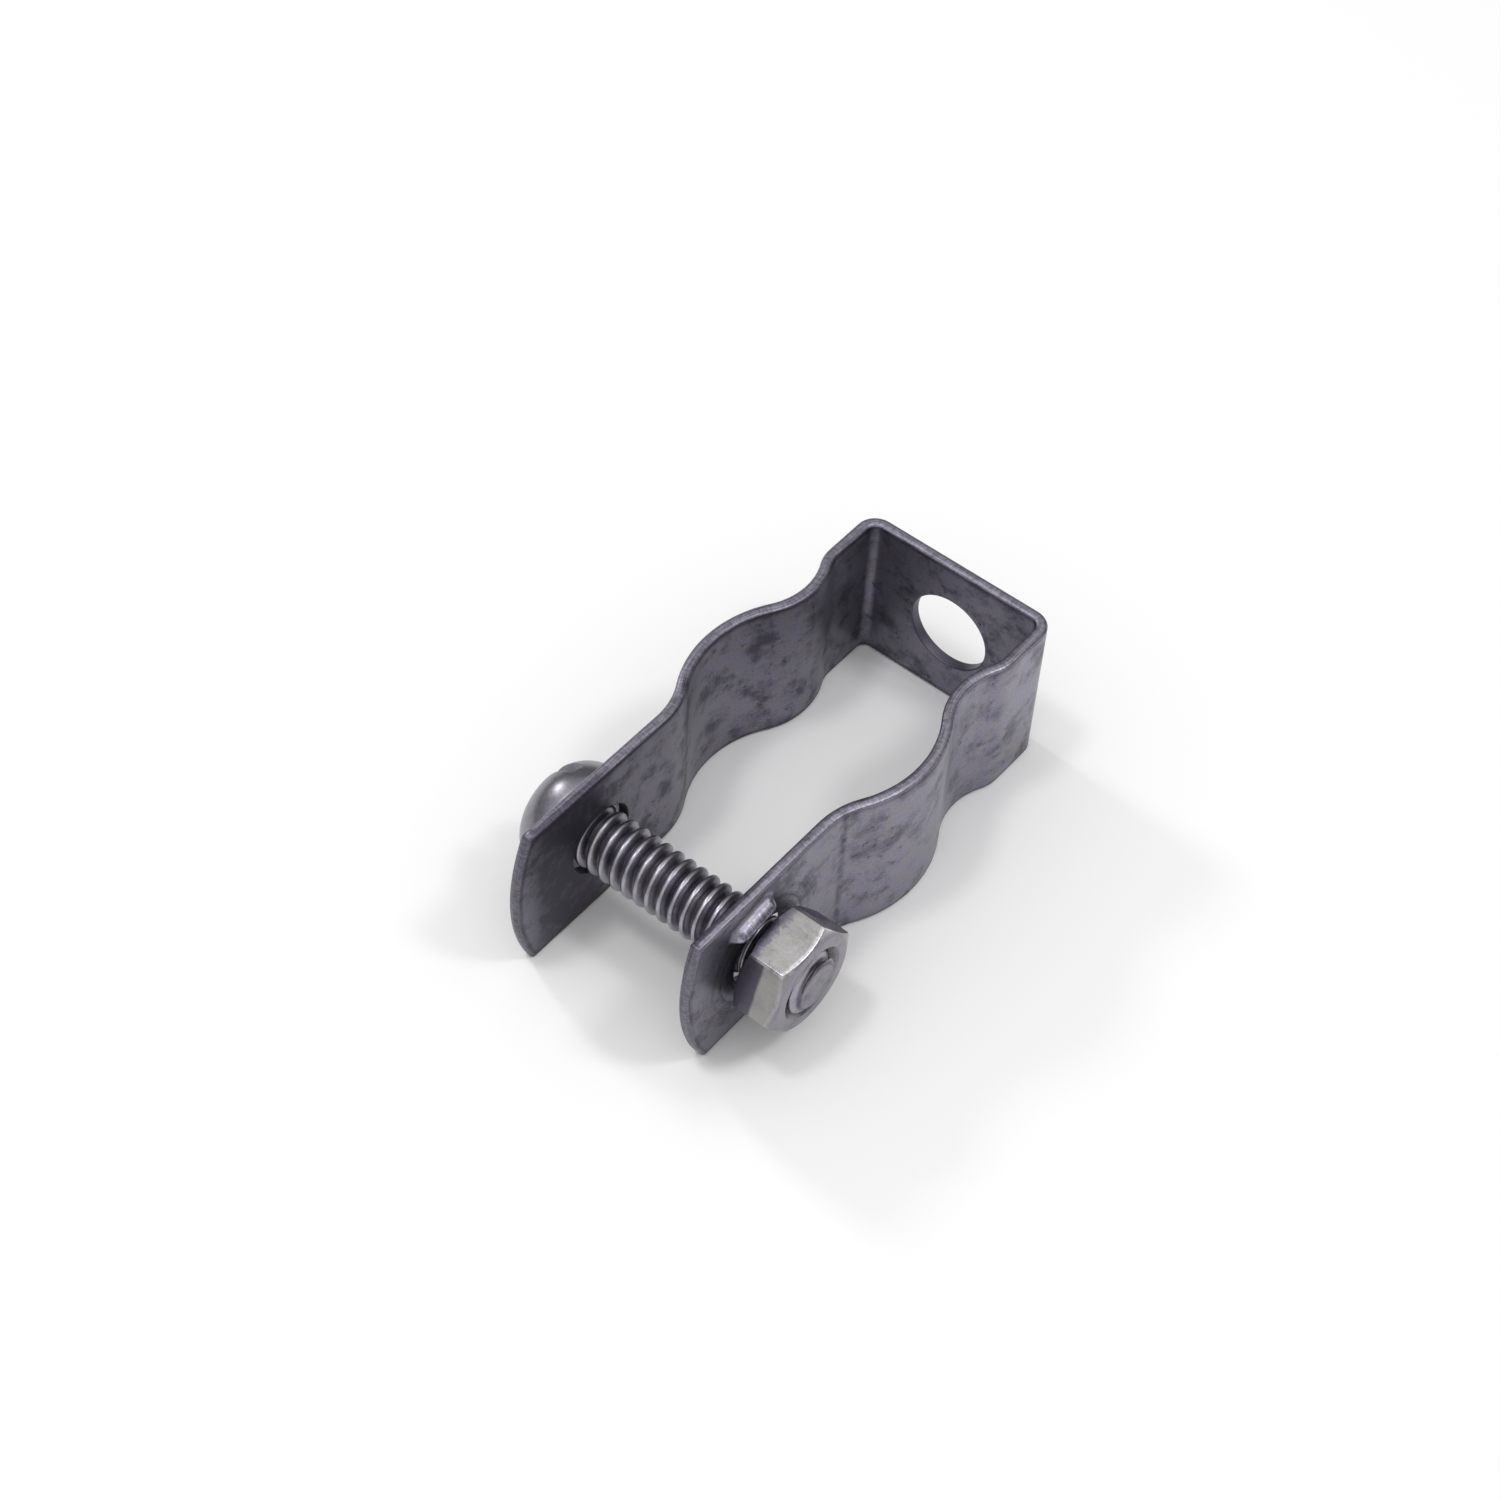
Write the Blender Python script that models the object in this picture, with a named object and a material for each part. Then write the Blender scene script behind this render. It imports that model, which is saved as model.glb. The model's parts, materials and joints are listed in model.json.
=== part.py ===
"""Conduit clamp: a strap bent from one steel strip, a round-head machine screw and a hex nut.

The two legs of the strap close round a conduit.
The screw crosses the ears at their free ends, and the nut on it draws them together.
The clamp lies on one cut edge of its strip: +X runs along the screw from its head to the nut,
+Y runs from the ears to the base, and +Z is up across the width of the strip.
"""

import math

import bmesh
import bpy
from mathutils import Matrix, Vector

MM = 0.001

# Strap: the strip, and how its legs follow the conduit
CONDUIT_DIAMETER = 17.93 * MM  # outside of the tube that the legs hold
STRIP_WIDTH = 13.5 * MM
STRIP_THICKNESS = 0.9 * MM
EDGE_ROUNDING = 0.25 * MM  # worn radius of the strip's cut edges
WAIST_GRIP = 2.4 * MM  # how far each leg comes inside the conduit's side above it
WAIST_RADIUS = 6.53 * MM
EAR_GRIP = 2.2 * MM  # how far each ear stands inside the conduit's side
NECK_RADIUS = 6.97 * MM
BASE_STEP = 0.97 * MM  # how much wider each leg stands beside the base than at the waist
STEP_RADIUS = 2.6 * MM
BASE_CORNER_RADIUS = 0.75 * MM
BASE_RUN = 3.45 * MM  # straight stretch of each leg beside the base
LEFT_EAR_LENGTH = 14.15 * MM  # straight stretch of the ear by the head, to its end's corners
RIGHT_EAR_LENGTH = 13.2 * MM  # the same by the nut, to halfway between its end's corners
RIGHT_EAR_SLANT = math.radians(4.2)  # turn of that end from square, its lower corner shorter
EAR_BULGE = 1.5 * MM  # how far the ear's rounded end reaches past its corners
BASE_HOLE_DIAMETER = 6.75 * MM
HOLE_EDGE_BREAK = 0.1 * MM

# Screw
SCREW_FROM_EAR_END = 7.23 * MM  # axis to the corners of the left ear's end
SCREW_DIAMETER = 4.83 * MM
THREAD_PITCH = 25.4 / 24 * MM
EAR_HOLE_CLEARANCE = 0.45 * MM  # all round the screw
HEAD_DIAMETER = 9.3 * MM
HEAD_HEIGHT = 3.7 * MM
HEAD_FULLNESS = 2.3  # exponent of the dome's outline, 2 being an ellipse
HEAD_STANDOFF = 1.0 * MM  # gap between the head and its ear, the screw being loose
SLOT_WIDTH = 1.25 * MM
SLOT_DEPTH = 2.5 * MM
SLOT_ANGLE = math.radians(76)
POINT_DIAMETER = 3.3 * MM  # flat end of the screw, inside its chamfer
POINT_LENGTH = 0.45 * MM  # how far the screw's end stands out of the nut

# Nut
NUT_ACROSS_FLATS = 7.94 * MM
NUT_THICKNESS = 3.7 * MM
NUT_STANDOFF = 0.8 * MM  # gap between the nut and its ear
NUT_ANGLE = math.radians(9.5)  # a corner's turn from +Y towards +Z
NUT_CHAMFER = math.radians(30)
NUT_FACE_SHARE = 0.95  # diameter of the flat faces over the width across flats
NUT_COUNTERSINK = 5.9 * MM
THREAD_CLEARANCE = 0.06 * MM  # radial play between the screw's thread and the nut's

# Ribs pressed out of the ear beside two of the nut's flats, to keep it from turning
RIB_LENGTH = 4.5 * MM
RIB_WIDTH = 1.6 * MM
RIB_HEIGHT = 0.85 * MM
RIB_CLEARANCE = 0.18 * MM  # between a rib and the flat beside it
RIB_SHIFT = 0.5 * MM  # along the flat, from its middle
RIB_WALL = 0.4 * MM  # metal left between a rib's surface and the groove behind it

# Thread form: 60 degrees between flanks, as shares of the pitch
CREST_SHARE = 1 / 8
ROOT_SHARE = 1 / 6
FLANK_SLOPE = math.tan(math.radians(30))

# How finely round things are divided
ARC_STEP = math.radians(7)
THREAD_SIDES = 24
HOLE_SIDES = 48
HEAD_SIDES = 48
DOME_RINGS = 9

CUT_MARGIN = 1.0 * MM  # how far a cutter runs past what it cuts
HEAD_OVERLAP = 0.3 * MM  # how far the shank runs into the head that it is joined to

# Places that follow from the sizes, with x = 0 midway between the legs,
# y = 0 on the inner face of the base and z = 0 on the strip's lower edge
SEAT_RADIUS = CONDUIT_DIAMETER / 2
WAIST_HALF_GAP = SEAT_RADIUS - WAIST_GRIP
EAR_HALF_GAP = SEAT_RADIUS - EAR_GRIP
BASE_HALF_GAP = WAIST_HALF_GAP + BASE_STEP
EAR_OUTSIDE = EAR_HALF_GAP + STRIP_THICKNESS
MID_WIDTH = STRIP_WIDTH / 2


def drop_to_tangent(radii, across):
    """Distance along the leg between two centres of touching arcs, `across` apart sideways."""
    return math.sqrt(radii**2 - across**2)


STEP_CENTRE = Vector((BASE_HALF_GAP - STEP_RADIUS, -BASE_CORNER_RADIUS - BASE_RUN))
WAIST_CENTRE = Vector((
    WAIST_HALF_GAP + WAIST_RADIUS,
    STEP_CENTRE.y - drop_to_tangent(
        STEP_RADIUS + WAIST_RADIUS, STEP_RADIUS + WAIST_RADIUS - BASE_STEP
    ),
))
SEAT_CENTRE = Vector((
    0.0,
    WAIST_CENTRE.y - drop_to_tangent(
        SEAT_RADIUS + WAIST_RADIUS, WAIST_HALF_GAP + WAIST_RADIUS
    ),
))
NECK_CENTRE = Vector((
    EAR_HALF_GAP + NECK_RADIUS,
    SEAT_CENTRE.y - drop_to_tangent(SEAT_RADIUS + NECK_RADIUS, EAR_HALF_GAP + NECK_RADIUS),
))
LEFT_EAR_END_Y = NECK_CENTRE.y - LEFT_EAR_LENGTH
RIGHT_EAR_END_Y = NECK_CENTRE.y - RIGHT_EAR_LENGTH
SCREW_Y = LEFT_EAR_END_Y + SCREW_FROM_EAR_END
HEAD_SEAT_X = -EAR_OUTSIDE - HEAD_STANDOFF
NUT_BACK_X = EAR_OUTSIDE + NUT_STANDOFF
SCREW_LENGTH = NUT_BACK_X + NUT_THICKNESS + POINT_LENGTH - HEAD_SEAT_X


def clear_scene():
    for obj in list(bpy.data.objects):
        bpy.data.objects.remove(obj, do_unlink=True)


def metal(name, colour, roughness):
    material = bpy.data.materials.new(name)
    material.use_nodes = True
    shader = material.node_tree.nodes["Principled BSDF"]
    shader.inputs["Base Color"].default_value = (*colour, 1.0)
    shader.inputs["Metallic"].default_value = 1.0
    shader.inputs["Roughness"].default_value = roughness
    material.diffuse_color = (*colour, 1.0)
    return material


def add_object(name, bm, parent, material=None):
    """Turns `bm` into an object of the scene. Without a material it is a cutter or a guide."""
    bmesh.ops.recalc_face_normals(bm, faces=bm.faces)
    mesh = bpy.data.meshes.new(name)
    bm.to_mesh(mesh)
    bm.free()
    obj = bpy.data.objects.new(name, mesh)
    bpy.context.scene.collection.objects.link(obj)
    obj.parent = parent
    if material:
        mesh.materials.append(material)
        mesh.shade_smooth()
        mesh.set_sharp_from_angle(angle=math.radians(30))
    else:
        obj.hide_render = True
        obj.display_type = "WIRE"
    return obj


def combine(target, other, operation):
    modifier = target.modifiers.new(other.name, "BOOLEAN")
    modifier.operation = operation
    modifier.object = other
    modifier.solver = "EXACT"


def arc(centre, radius, start, end):
    """Points of an arc in a plane, both ends included."""
    steps = max(2, math.ceil(abs(end - start) / ARC_STEP))
    points = []
    for step in range(steps + 1):
        angle = start + (end - start) * step / steps
        points.append(centre + radius * Vector((math.cos(angle), math.sin(angle))))
    return points


def leg_face(offset, ear_end_y):
    """The right leg seen along Z, `offset` outside its inner face, from the base to the ear."""
    corner_centre = Vector((BASE_HALF_GAP - BASE_CORNER_RADIUS, -BASE_CORNER_RADIUS))
    to_waist = WAIST_CENTRE - STEP_CENTRE
    step_end = math.atan2(to_waist.y, to_waist.x)
    seat_start = math.atan2(WAIST_CENTRE.y - SEAT_CENTRE.y, WAIST_CENTRE.x)
    seat_end = math.atan2(NECK_CENTRE.y - SEAT_CENTRE.y, NECK_CENTRE.x)
    points = [Vector((0.0, offset))]
    points += arc(corner_centre, BASE_CORNER_RADIUS + offset, math.pi / 2, 0.0)
    points += arc(STEP_CENTRE, STEP_RADIUS + offset, 0.0, step_end)
    points += arc(WAIST_CENTRE, WAIST_RADIUS - offset, math.pi + step_end, math.pi + seat_start)
    points += arc(SEAT_CENTRE, SEAT_RADIUS + offset, seat_start, seat_end)
    points += arc(NECK_CENTRE, NECK_RADIUS - offset, math.pi + seat_end, math.pi)
    points.append(Vector((EAR_HALF_GAP + offset, ear_end_y)))
    return points


def strap_face(offset, ear_end_y):
    """One face of the whole strip, from the left ear over the base to the right ear."""
    right = leg_face(offset, ear_end_y)
    left = [Vector((-point.x, point.y)) for point in right[:0:-1]]
    return left + right


def extrude_outline(points, start, along):
    """Closed prism on a plane outline. `start` turns its points into places in space."""
    bm = bmesh.new()
    face = bm.faces.new([bm.verts.new(start @ Vector((*point, 0.0))) for point in points])
    grown = bmesh.ops.extrude_face_region(bm, geom=[face], use_keep_orig=True)
    moved = [item for item in grown["geom"] if isinstance(item, bmesh.types.BMVert)]
    bmesh.ops.translate(bm, verts=moved, vec=along)
    bmesh.ops.remove_doubles(bm, verts=bm.verts, dist=1e-7)
    return bm


def bent_strip():
    """The strip after bending, with spare length at both ears that the end cutters take off."""
    ear_end_y = min(LEFT_EAR_END_Y, RIGHT_EAR_END_Y) - EAR_BULGE - CUT_MARGIN
    inner = strap_face(0.0, ear_end_y)
    outer = strap_face(STRIP_THICKNESS, ear_end_y)
    bm = bmesh.new()
    stations = []
    for inside, outside in zip(inner, outer):
        corners = []
        for point in (inside, outside):
            corners.append(bm.verts.new((point.x, point.y, 0.0)))
            corners.append(bm.verts.new((point.x, point.y, STRIP_WIDTH)))
        stations.append((corners[0], corners[1], corners[3], corners[2]))
    for here, following in zip(stations, stations[1:]):
        for side in range(4):
            other = (side + 1) % 4
            bm.faces.new((here[side], here[other], following[other], following[side]))
    bm.faces.new(stations[0])
    bm.faces.new(stations[-1])
    bmesh.ops.remove_doubles(bm, verts=bm.verts, dist=1e-7)
    return bm


def ear_end_cutter(name, parent, x, end_y, slant):
    """Cutter for one ear, seen along X: all that lies past the rounded end of the strip.

    Its arc passes both corners of the end, and runs on past the edges of the strip.
    """
    end_radius = (MID_WIDTH**2 + EAR_BULGE**2) / (2 * EAR_BULGE)
    reach = MID_WIDTH + CUT_MARGIN
    half_angle = math.asin(min(reach / end_radius, 1.0))
    end_centre = Vector((end_radius - EAR_BULGE, 0.0))
    points = arc(end_centre, end_radius, math.pi - half_angle, math.pi)
    points += arc(end_centre, end_radius, math.pi, math.pi + half_angle)[1:]
    far_y = -EAR_BULGE - STRIP_WIDTH
    points += [Vector((far_y, points[-1].y)), Vector((far_y, points[0].y))]
    to_side_view = Matrix(((0, 0, 1, 0), (1, 0, 0, 0), (0, 1, 0, 0), (0, 0, 0, 1)))
    depth = STRIP_THICKNESS + 2 * CUT_MARGIN
    cutter = extrude_outline(points, to_side_view, Vector((depth, 0.0, 0.0)))
    end = add_object(name, cutter, parent)
    end.location = (x - CUT_MARGIN, end_y, MID_WIDTH)
    end.rotation_euler = (slant, 0.0, 0.0)
    return end


def turned(profile, sides):
    """Closed solid of revolution about X from (x, radius) points that start and end on the axis."""
    bm = bmesh.new()
    verts = [bm.verts.new((x, radius, 0.0)) for x, radius in profile]
    edges = [bm.edges.new(pair) for pair in zip(verts, verts[1:])]
    bmesh.ops.spin(
        bm, geom=verts + edges, cent=(0, 0, 0), axis=(1, 0, 0), angle=math.tau, steps=sides
    )
    bmesh.ops.remove_doubles(bm, verts=bm.verts, dist=1e-7)
    return bm


def hole_cutter(name, parent, radius, sides):
    """Cutter for one wall of the strip, its face at x = 0, with both edges of the hole broken."""
    wide = radius + HOLE_EDGE_BREAK + CUT_MARGIN
    profile = (
        (-CUT_MARGIN, 0.0),
        (-CUT_MARGIN, wide),
        (HOLE_EDGE_BREAK, radius),
        (STRIP_THICKNESS - HOLE_EDGE_BREAK, radius),
        (STRIP_THICKNESS + CUT_MARGIN, wide),
        (STRIP_THICKNESS + CUT_MARGIN, 0.0),
    )
    return add_object(name, turned(profile, sides), parent)


def pressed_bar(name, parent, length, width, height):
    """Bar with an oval section and round ends, lying along Y and rising along X."""
    bm = bmesh.new()
    bmesh.ops.create_uvsphere(bm, u_segments=20, v_segments=11, radius=1.0)
    straight = length - width
    for vert in bm.verts:
        shift = math.copysign(straight / 2, vert.co.z)
        vert.co = (vert.co.x * height, vert.co.z * width / 2 + shift, vert.co.y * width / 2)
    return add_object(name, bm, parent)


def build_ribs(strap, parent):
    """Two ribs outside the nut's ear, with the grooves that the press leaves inside it."""
    from_axis = NUT_ACROSS_FLATS / 2 + RIB_CLEARANCE + RIB_WIDTH / 2
    flat_normal = NUT_ANGLE + math.pi / 2
    for name, turn in (("upper", 0.0), ("lower", math.pi)):
        about_axis = Matrix.Rotation(flat_normal + turn, 4, "X")
        beside_flat = Matrix.Translation((0.0, from_axis, RIB_SHIFT))
        along_flat = Matrix.Rotation(math.pi / 2, 4, "X")
        for kind, face_x, length, width, height, operation in (
            ("rib", EAR_OUTSIDE, RIB_LENGTH, RIB_WIDTH, RIB_HEIGHT, "UNION"),
            (
                "groove",
                EAR_HALF_GAP,
                RIB_LENGTH - 2 * RIB_WALL,
                RIB_WIDTH - 2 * RIB_WALL,
                RIB_HEIGHT - RIB_WALL,
                "DIFFERENCE",
            ),
        ):
            bar = pressed_bar(f"{name}_{kind}", parent, length, width, height)
            on_ear = Matrix.Translation((face_x, SCREW_Y, MID_WIDTH))
            bar.matrix_local = on_ear @ about_axis @ beside_flat @ along_flat
            combine(strap, bar, operation)


def build_strap(parent):
    zinc = metal("zinc_plated_strip", (0.205, 0.195, 0.243), 0.42)
    strap = add_object("strap", bent_strip(), parent, zinc)
    for name, x, end_y, slant in (
        ("left_ear_end", -EAR_OUTSIDE, LEFT_EAR_END_Y, 0.0),
        ("right_ear_end", EAR_HALF_GAP, RIGHT_EAR_END_Y, RIGHT_EAR_SLANT),
    ):
        combine(strap, ear_end_cutter(name, parent, x, end_y, slant), "DIFFERENCE")
    rounding = strap.modifiers.new("edge_rounding", "BEVEL")
    rounding.width = EDGE_ROUNDING
    rounding.segments = 2
    rounding.limit_method = "ANGLE"
    rounding.angle_limit = math.radians(40)

    base_hole = hole_cutter("base_hole", parent, BASE_HOLE_DIAMETER / 2, HOLE_SIDES)
    base_hole.location = (0.0, 0.0, MID_WIDTH)
    base_hole.rotation_euler = (0.0, 0.0, math.pi / 2)
    combine(strap, base_hole, "DIFFERENCE")

    ear_hole_radius = SCREW_DIAMETER / 2 + EAR_HOLE_CLEARANCE
    for name, x in (("left_ear_hole", -EAR_OUTSIDE), ("right_ear_hole", EAR_HALF_GAP)):
        ear_hole = hole_cutter(name, parent, ear_hole_radius, HOLE_SIDES)
        ear_hole.location = (x, SCREW_Y, MID_WIDTH)
        combine(strap, ear_hole, "DIFFERENCE")
    build_ribs(strap, parent)
    return strap


def thread_radius(x, angle, crest_radius):
    """Radius of a right-hand thread about X. A crest's middle passes x = 0 at angle 0."""
    from_crest = abs((x / THREAD_PITCH - angle / math.tau + 0.5) % 1.0 - 0.5)
    flank = (1 - CREST_SHARE - ROOT_SHARE) / 2
    down_flank = min(max(from_crest - CREST_SHARE / 2, 0.0), flank)
    return crest_radius - down_flank * THREAD_PITCH / FLANK_SLOPE


def threaded_rod(start, end, crest_radius):
    """Rod about X with the thread cut square at both ends.

    Each column of points runs along the rod, with a point at each corner of the thread's section.
    The corners of one column lie a little farther on than those of the column before it,
    so after the last column each corner meets the corner of the next turn in the first.
    """
    corners = (
        -CREST_SHARE / 2,
        CREST_SHARE / 2,
        0.5 - ROOT_SHARE / 2,
        0.5 + ROOT_SHARE / 2,
    )
    first_turn = math.floor(start / THREAD_PITCH) - 2
    last_turn = math.ceil(end / THREAD_PITCH) + 2
    bm = bmesh.new()
    columns = []
    for side in range(THREAD_SIDES):
        angle = math.tau * side / THREAD_SIDES
        column = []
        for turn in range(first_turn, last_turn + 1):
            for corner in corners:
                x = THREAD_PITCH * (turn + angle / math.tau + corner)
                x = min(max(x, start), end)
                radius = thread_radius(x, angle, crest_radius)
                column.append(bm.verts.new((x, radius * math.cos(angle), radius * math.sin(angle))))
        columns.append(column)
    for side, column in enumerate(columns):
        last = side == THREAD_SIDES - 1
        following = columns[0][len(corners):] if last else columns[side + 1]
        for index in range(len(following) - 1):
            bm.faces.new((column[index], column[index + 1], following[index + 1], following[index]))
    bmesh.ops.remove_doubles(bm, verts=bm.verts, dist=1e-7)
    bmesh.ops.dissolve_degenerate(bm, edges=bm.edges, dist=1e-7)
    rims = [edge for edge in bm.edges if edge.is_boundary]
    bmesh.ops.holes_fill(bm, edges=rims)
    return bm


def dome_profile():
    """Head from the middle of its bearing face, round its rim and over the dome to the top."""
    points = [(0.0, 0.0)]
    for ring in range(DOME_RINGS + 1):
        angle = math.pi / 2 * ring / DOME_RINGS
        height = HEAD_HEIGHT * math.sin(angle) ** (2 / HEAD_FULLNESS)
        radius = HEAD_DIAMETER / 2 * math.cos(angle) ** (2 / HEAD_FULLNESS)
        points.append((-height, radius if ring < DOME_RINGS else 0.0))
    return points


def point_envelope():
    """All round the shank and clear of its thread, apart from the cone that chamfers the point."""
    wide = SCREW_DIAMETER / 2 + CUT_MARGIN
    cone_length = wide - POINT_DIAMETER / 2
    profile = (
        (-HEAD_OVERLAP - CUT_MARGIN, 0.0),
        (-HEAD_OVERLAP - CUT_MARGIN, wide),
        (SCREW_LENGTH - cone_length, wide),
        (SCREW_LENGTH, POINT_DIAMETER / 2),
        (SCREW_LENGTH, 0.0),
    )
    return turned(profile, HEAD_SIDES)


def build_screw(parent):
    zinc = metal("zinc_plated_screw", (0.36, 0.35, 0.40), 0.3)
    shank = threaded_rod(-HEAD_OVERLAP, SCREW_LENGTH + CUT_MARGIN, SCREW_DIAMETER / 2)
    screw = add_object("screw", shank, parent, zinc)
    envelope = add_object("screw_point", point_envelope(), screw)
    head = add_object("screw_head", turned(dome_profile(), HEAD_SIDES), screw)

    bm = bmesh.new()
    bmesh.ops.create_cube(bm, size=1.0)
    depth = SLOT_DEPTH + CUT_MARGIN
    size = Vector((depth, HEAD_DIAMETER + 2 * CUT_MARGIN, SLOT_WIDTH))
    bmesh.ops.scale(bm, verts=bm.verts, vec=size)
    slot = add_object("screw_slot", bm, screw)
    slot.location = (-HEAD_HEIGHT + SLOT_DEPTH - depth / 2, 0.0, 0.0)
    slot.rotation_euler = (SLOT_ANGLE, 0.0, 0.0)

    combine(screw, envelope, "INTERSECT")
    combine(screw, head, "UNION")
    combine(screw, slot, "DIFFERENCE")
    screw.location = (HEAD_SEAT_X, SCREW_Y, MID_WIDTH)
    return screw


def nut_chamfers():
    """Solid that takes the corners off both faces of the hexagon."""
    face_radius = NUT_FACE_SHARE * NUT_ACROSS_FLATS / 2
    wide = NUT_ACROSS_FLATS / math.sqrt(3) + CUT_MARGIN
    slope = (wide - face_radius) * math.tan(NUT_CHAMFER)
    if 2 * slope > NUT_THICKNESS:
        wide = face_radius + NUT_THICKNESS / 2 / math.tan(NUT_CHAMFER)
        slope = NUT_THICKNESS / 2
    profile = (
        (0.0, 0.0),
        (0.0, face_radius),
        (slope, wide),
        (NUT_THICKNESS - slope, wide),
        (NUT_THICKNESS, face_radius),
        (NUT_THICKNESS, 0.0),
    )
    return turned(profile, HEAD_SIDES)


def nut_countersinks():
    """Spool that opens both ends of the nut's thread at 45 degrees."""
    wide = NUT_COUNTERSINK / 2 + CUT_MARGIN
    narrow = SCREW_DIAMETER / 4
    depth = NUT_COUNTERSINK / 2 - narrow
    profile = (
        (-CUT_MARGIN, 0.0),
        (-CUT_MARGIN, wide),
        (depth, narrow),
        (NUT_THICKNESS - depth, narrow),
        (NUT_THICKNESS + CUT_MARGIN, wide),
        (NUT_THICKNESS + CUT_MARGIN, 0.0),
    )
    return turned(profile, THREAD_SIDES)


def build_nut(parent):
    zinc = metal("zinc_plated_nut", (0.39, 0.38, 0.40), 0.3)
    corner_radius = NUT_ACROSS_FLATS / math.sqrt(3)
    hexagon = []
    for corner in range(6):
        angle = NUT_ANGLE + math.tau * corner / 6
        hexagon.append(corner_radius * Vector((math.cos(angle), math.sin(angle))))
    to_end_view = Matrix(((0, 0, 1, 0), (1, 0, 0, 0), (0, 1, 0, 0), (0, 0, 0, 1)))
    prism = extrude_outline(hexagon, to_end_view, Vector((NUT_THICKNESS, 0.0, 0.0)))
    nut = add_object("nut", prism, parent, zinc)

    # The tap turns on from the screw's own thread, so the two mesh
    from_head = NUT_BACK_X - HEAD_SEAT_X
    tap = threaded_rod(
        from_head - CUT_MARGIN,
        from_head + NUT_THICKNESS + CUT_MARGIN,
        SCREW_DIAMETER / 2 + THREAD_CLEARANCE,
    )
    bmesh.ops.translate(tap, verts=tap.verts, vec=(-from_head, 0.0, 0.0))
    combine(nut, add_object("nut_chamfers", nut_chamfers(), nut), "INTERSECT")
    combine(nut, add_object("nut_tap", tap, nut), "DIFFERENCE")
    combine(nut, add_object("nut_countersinks", nut_countersinks(), nut), "DIFFERENCE")
    nut.location = (NUT_BACK_X, SCREW_Y, MID_WIDTH)
    return nut


def stand_on_origin(root, pieces):
    """Moves the clamp so that the middle of its underside, as a box, is at the world's origin."""
    bpy.context.view_layer.update()
    graph = bpy.context.evaluated_depsgraph_get()
    places = []
    for piece in pieces:
        evaluated = piece.evaluated_get(graph)
        mesh = evaluated.to_mesh()
        places += [evaluated.matrix_world @ vert.co for vert in mesh.vertices]
        evaluated.to_mesh_clear()
    low = Vector([min(place[axis] for place in places) for axis in range(3)])
    high = Vector([max(place[axis] for place in places) for axis in range(3)])
    root.location = (-(low.x + high.x) / 2, -(low.y + high.y) / 2, -low.z)
    bpy.context.view_layer.update()


def main():
    clear_scene()
    root = bpy.data.objects.new("clamp", None)
    bpy.context.scene.collection.objects.link(root)
    pieces = [build_strap(root), build_screw(root), build_nut(root)]
    stand_on_origin(root, pieces)


main()
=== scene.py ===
"""Looks of the conduit clamp: its strap, screw and nut, and the stage that they are shown on."""

import json
import math

import bmesh
import bpy
import numpy as np
from bpy.props import FloatProperty, FloatVectorProperty, IntProperty, PointerProperty
from mathutils import Matrix, Vector


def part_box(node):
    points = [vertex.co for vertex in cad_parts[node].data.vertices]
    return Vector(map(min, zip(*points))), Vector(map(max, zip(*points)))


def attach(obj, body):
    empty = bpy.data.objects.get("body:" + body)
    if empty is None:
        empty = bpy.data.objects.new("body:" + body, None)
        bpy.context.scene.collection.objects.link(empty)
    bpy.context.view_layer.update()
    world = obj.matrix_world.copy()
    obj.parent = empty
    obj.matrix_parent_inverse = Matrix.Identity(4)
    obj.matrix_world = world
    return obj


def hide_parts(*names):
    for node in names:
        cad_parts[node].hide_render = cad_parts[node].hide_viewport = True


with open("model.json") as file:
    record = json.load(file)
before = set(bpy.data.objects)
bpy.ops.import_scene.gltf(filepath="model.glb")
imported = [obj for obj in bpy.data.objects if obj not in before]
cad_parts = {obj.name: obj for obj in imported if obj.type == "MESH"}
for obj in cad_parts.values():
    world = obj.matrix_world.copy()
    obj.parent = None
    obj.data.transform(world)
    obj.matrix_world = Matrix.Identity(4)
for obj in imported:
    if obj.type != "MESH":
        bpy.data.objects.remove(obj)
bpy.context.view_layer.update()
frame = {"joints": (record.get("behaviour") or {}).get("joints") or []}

bl_info = {
    "name": "Conduit clamp",
    "version": (1, 0, 0),
    "blender": (4, 5, 0),
    "location": "3D View > Sidebar > Clamp",
    "description": "Builds a conduit clamp's strap, screw and nut over their CAD model",
    "category": "Object",
}

MM = 0.001
STRAP_LOW, STRAP_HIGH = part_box("strap")
SCREW_LOW, SCREW_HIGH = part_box("screw")
NUT_LOW, NUT_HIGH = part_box("nut")
SCREW_AXIS = Vector((0.0, *frame["joints"][0]["pos_m"][1:]))
ROOT_THREE = math.sqrt(3)

# How finely round shapes are divided
ROUND_SIDES = 96
CHAMFER_SIDES = 120
TURN_SAMPLES = 14
DOME_RINGS = 26
EDGE_STEPS = 16
LIP_STEPS = 5

# How far a cutter reaches past what it cuts
SPARE = 1.0 * MM

# Cells of the noises in a metre
CLOUDS = 420.0
TINTS = 900.0
PATCHES = 1100.0
RAGS = 1500.0
SPOTS = 1900.0
RINGS = 2600.0
NICKS = 3600.0
GRAIN = 6000.0
LONG_LINES = 400.0
RIB_LINES = 500.0
FINE_LINES = 5200.0

# Stage
FLOOR_HALF = 3.0
BRIGHT_SKY = (0.15, -0.30, 0.94)
SKY_STRENGTHS = (0.2, 1.08)
LAMP_DISTANCE = 0.45
LAMPS = (  # name, direction, diameter and radiance
    ("stage_lamp_left", (-0.80, 0.06, 0.60), 0.07, 32.0),
    ("stage_lamp_top", (-0.18, -0.22, 0.95), 0.07, 26.0),
    ("stage_lamp_right", (0.46, 0.20, 0.87), 0.08, 20.0),
)
CAMERA_PLACE = (0.078177, -0.109328, 0.173431)
CAMERA_TURNS = (39.5425, -2.1259, 39.2418)
CAMERA_LENS = 72.095


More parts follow.
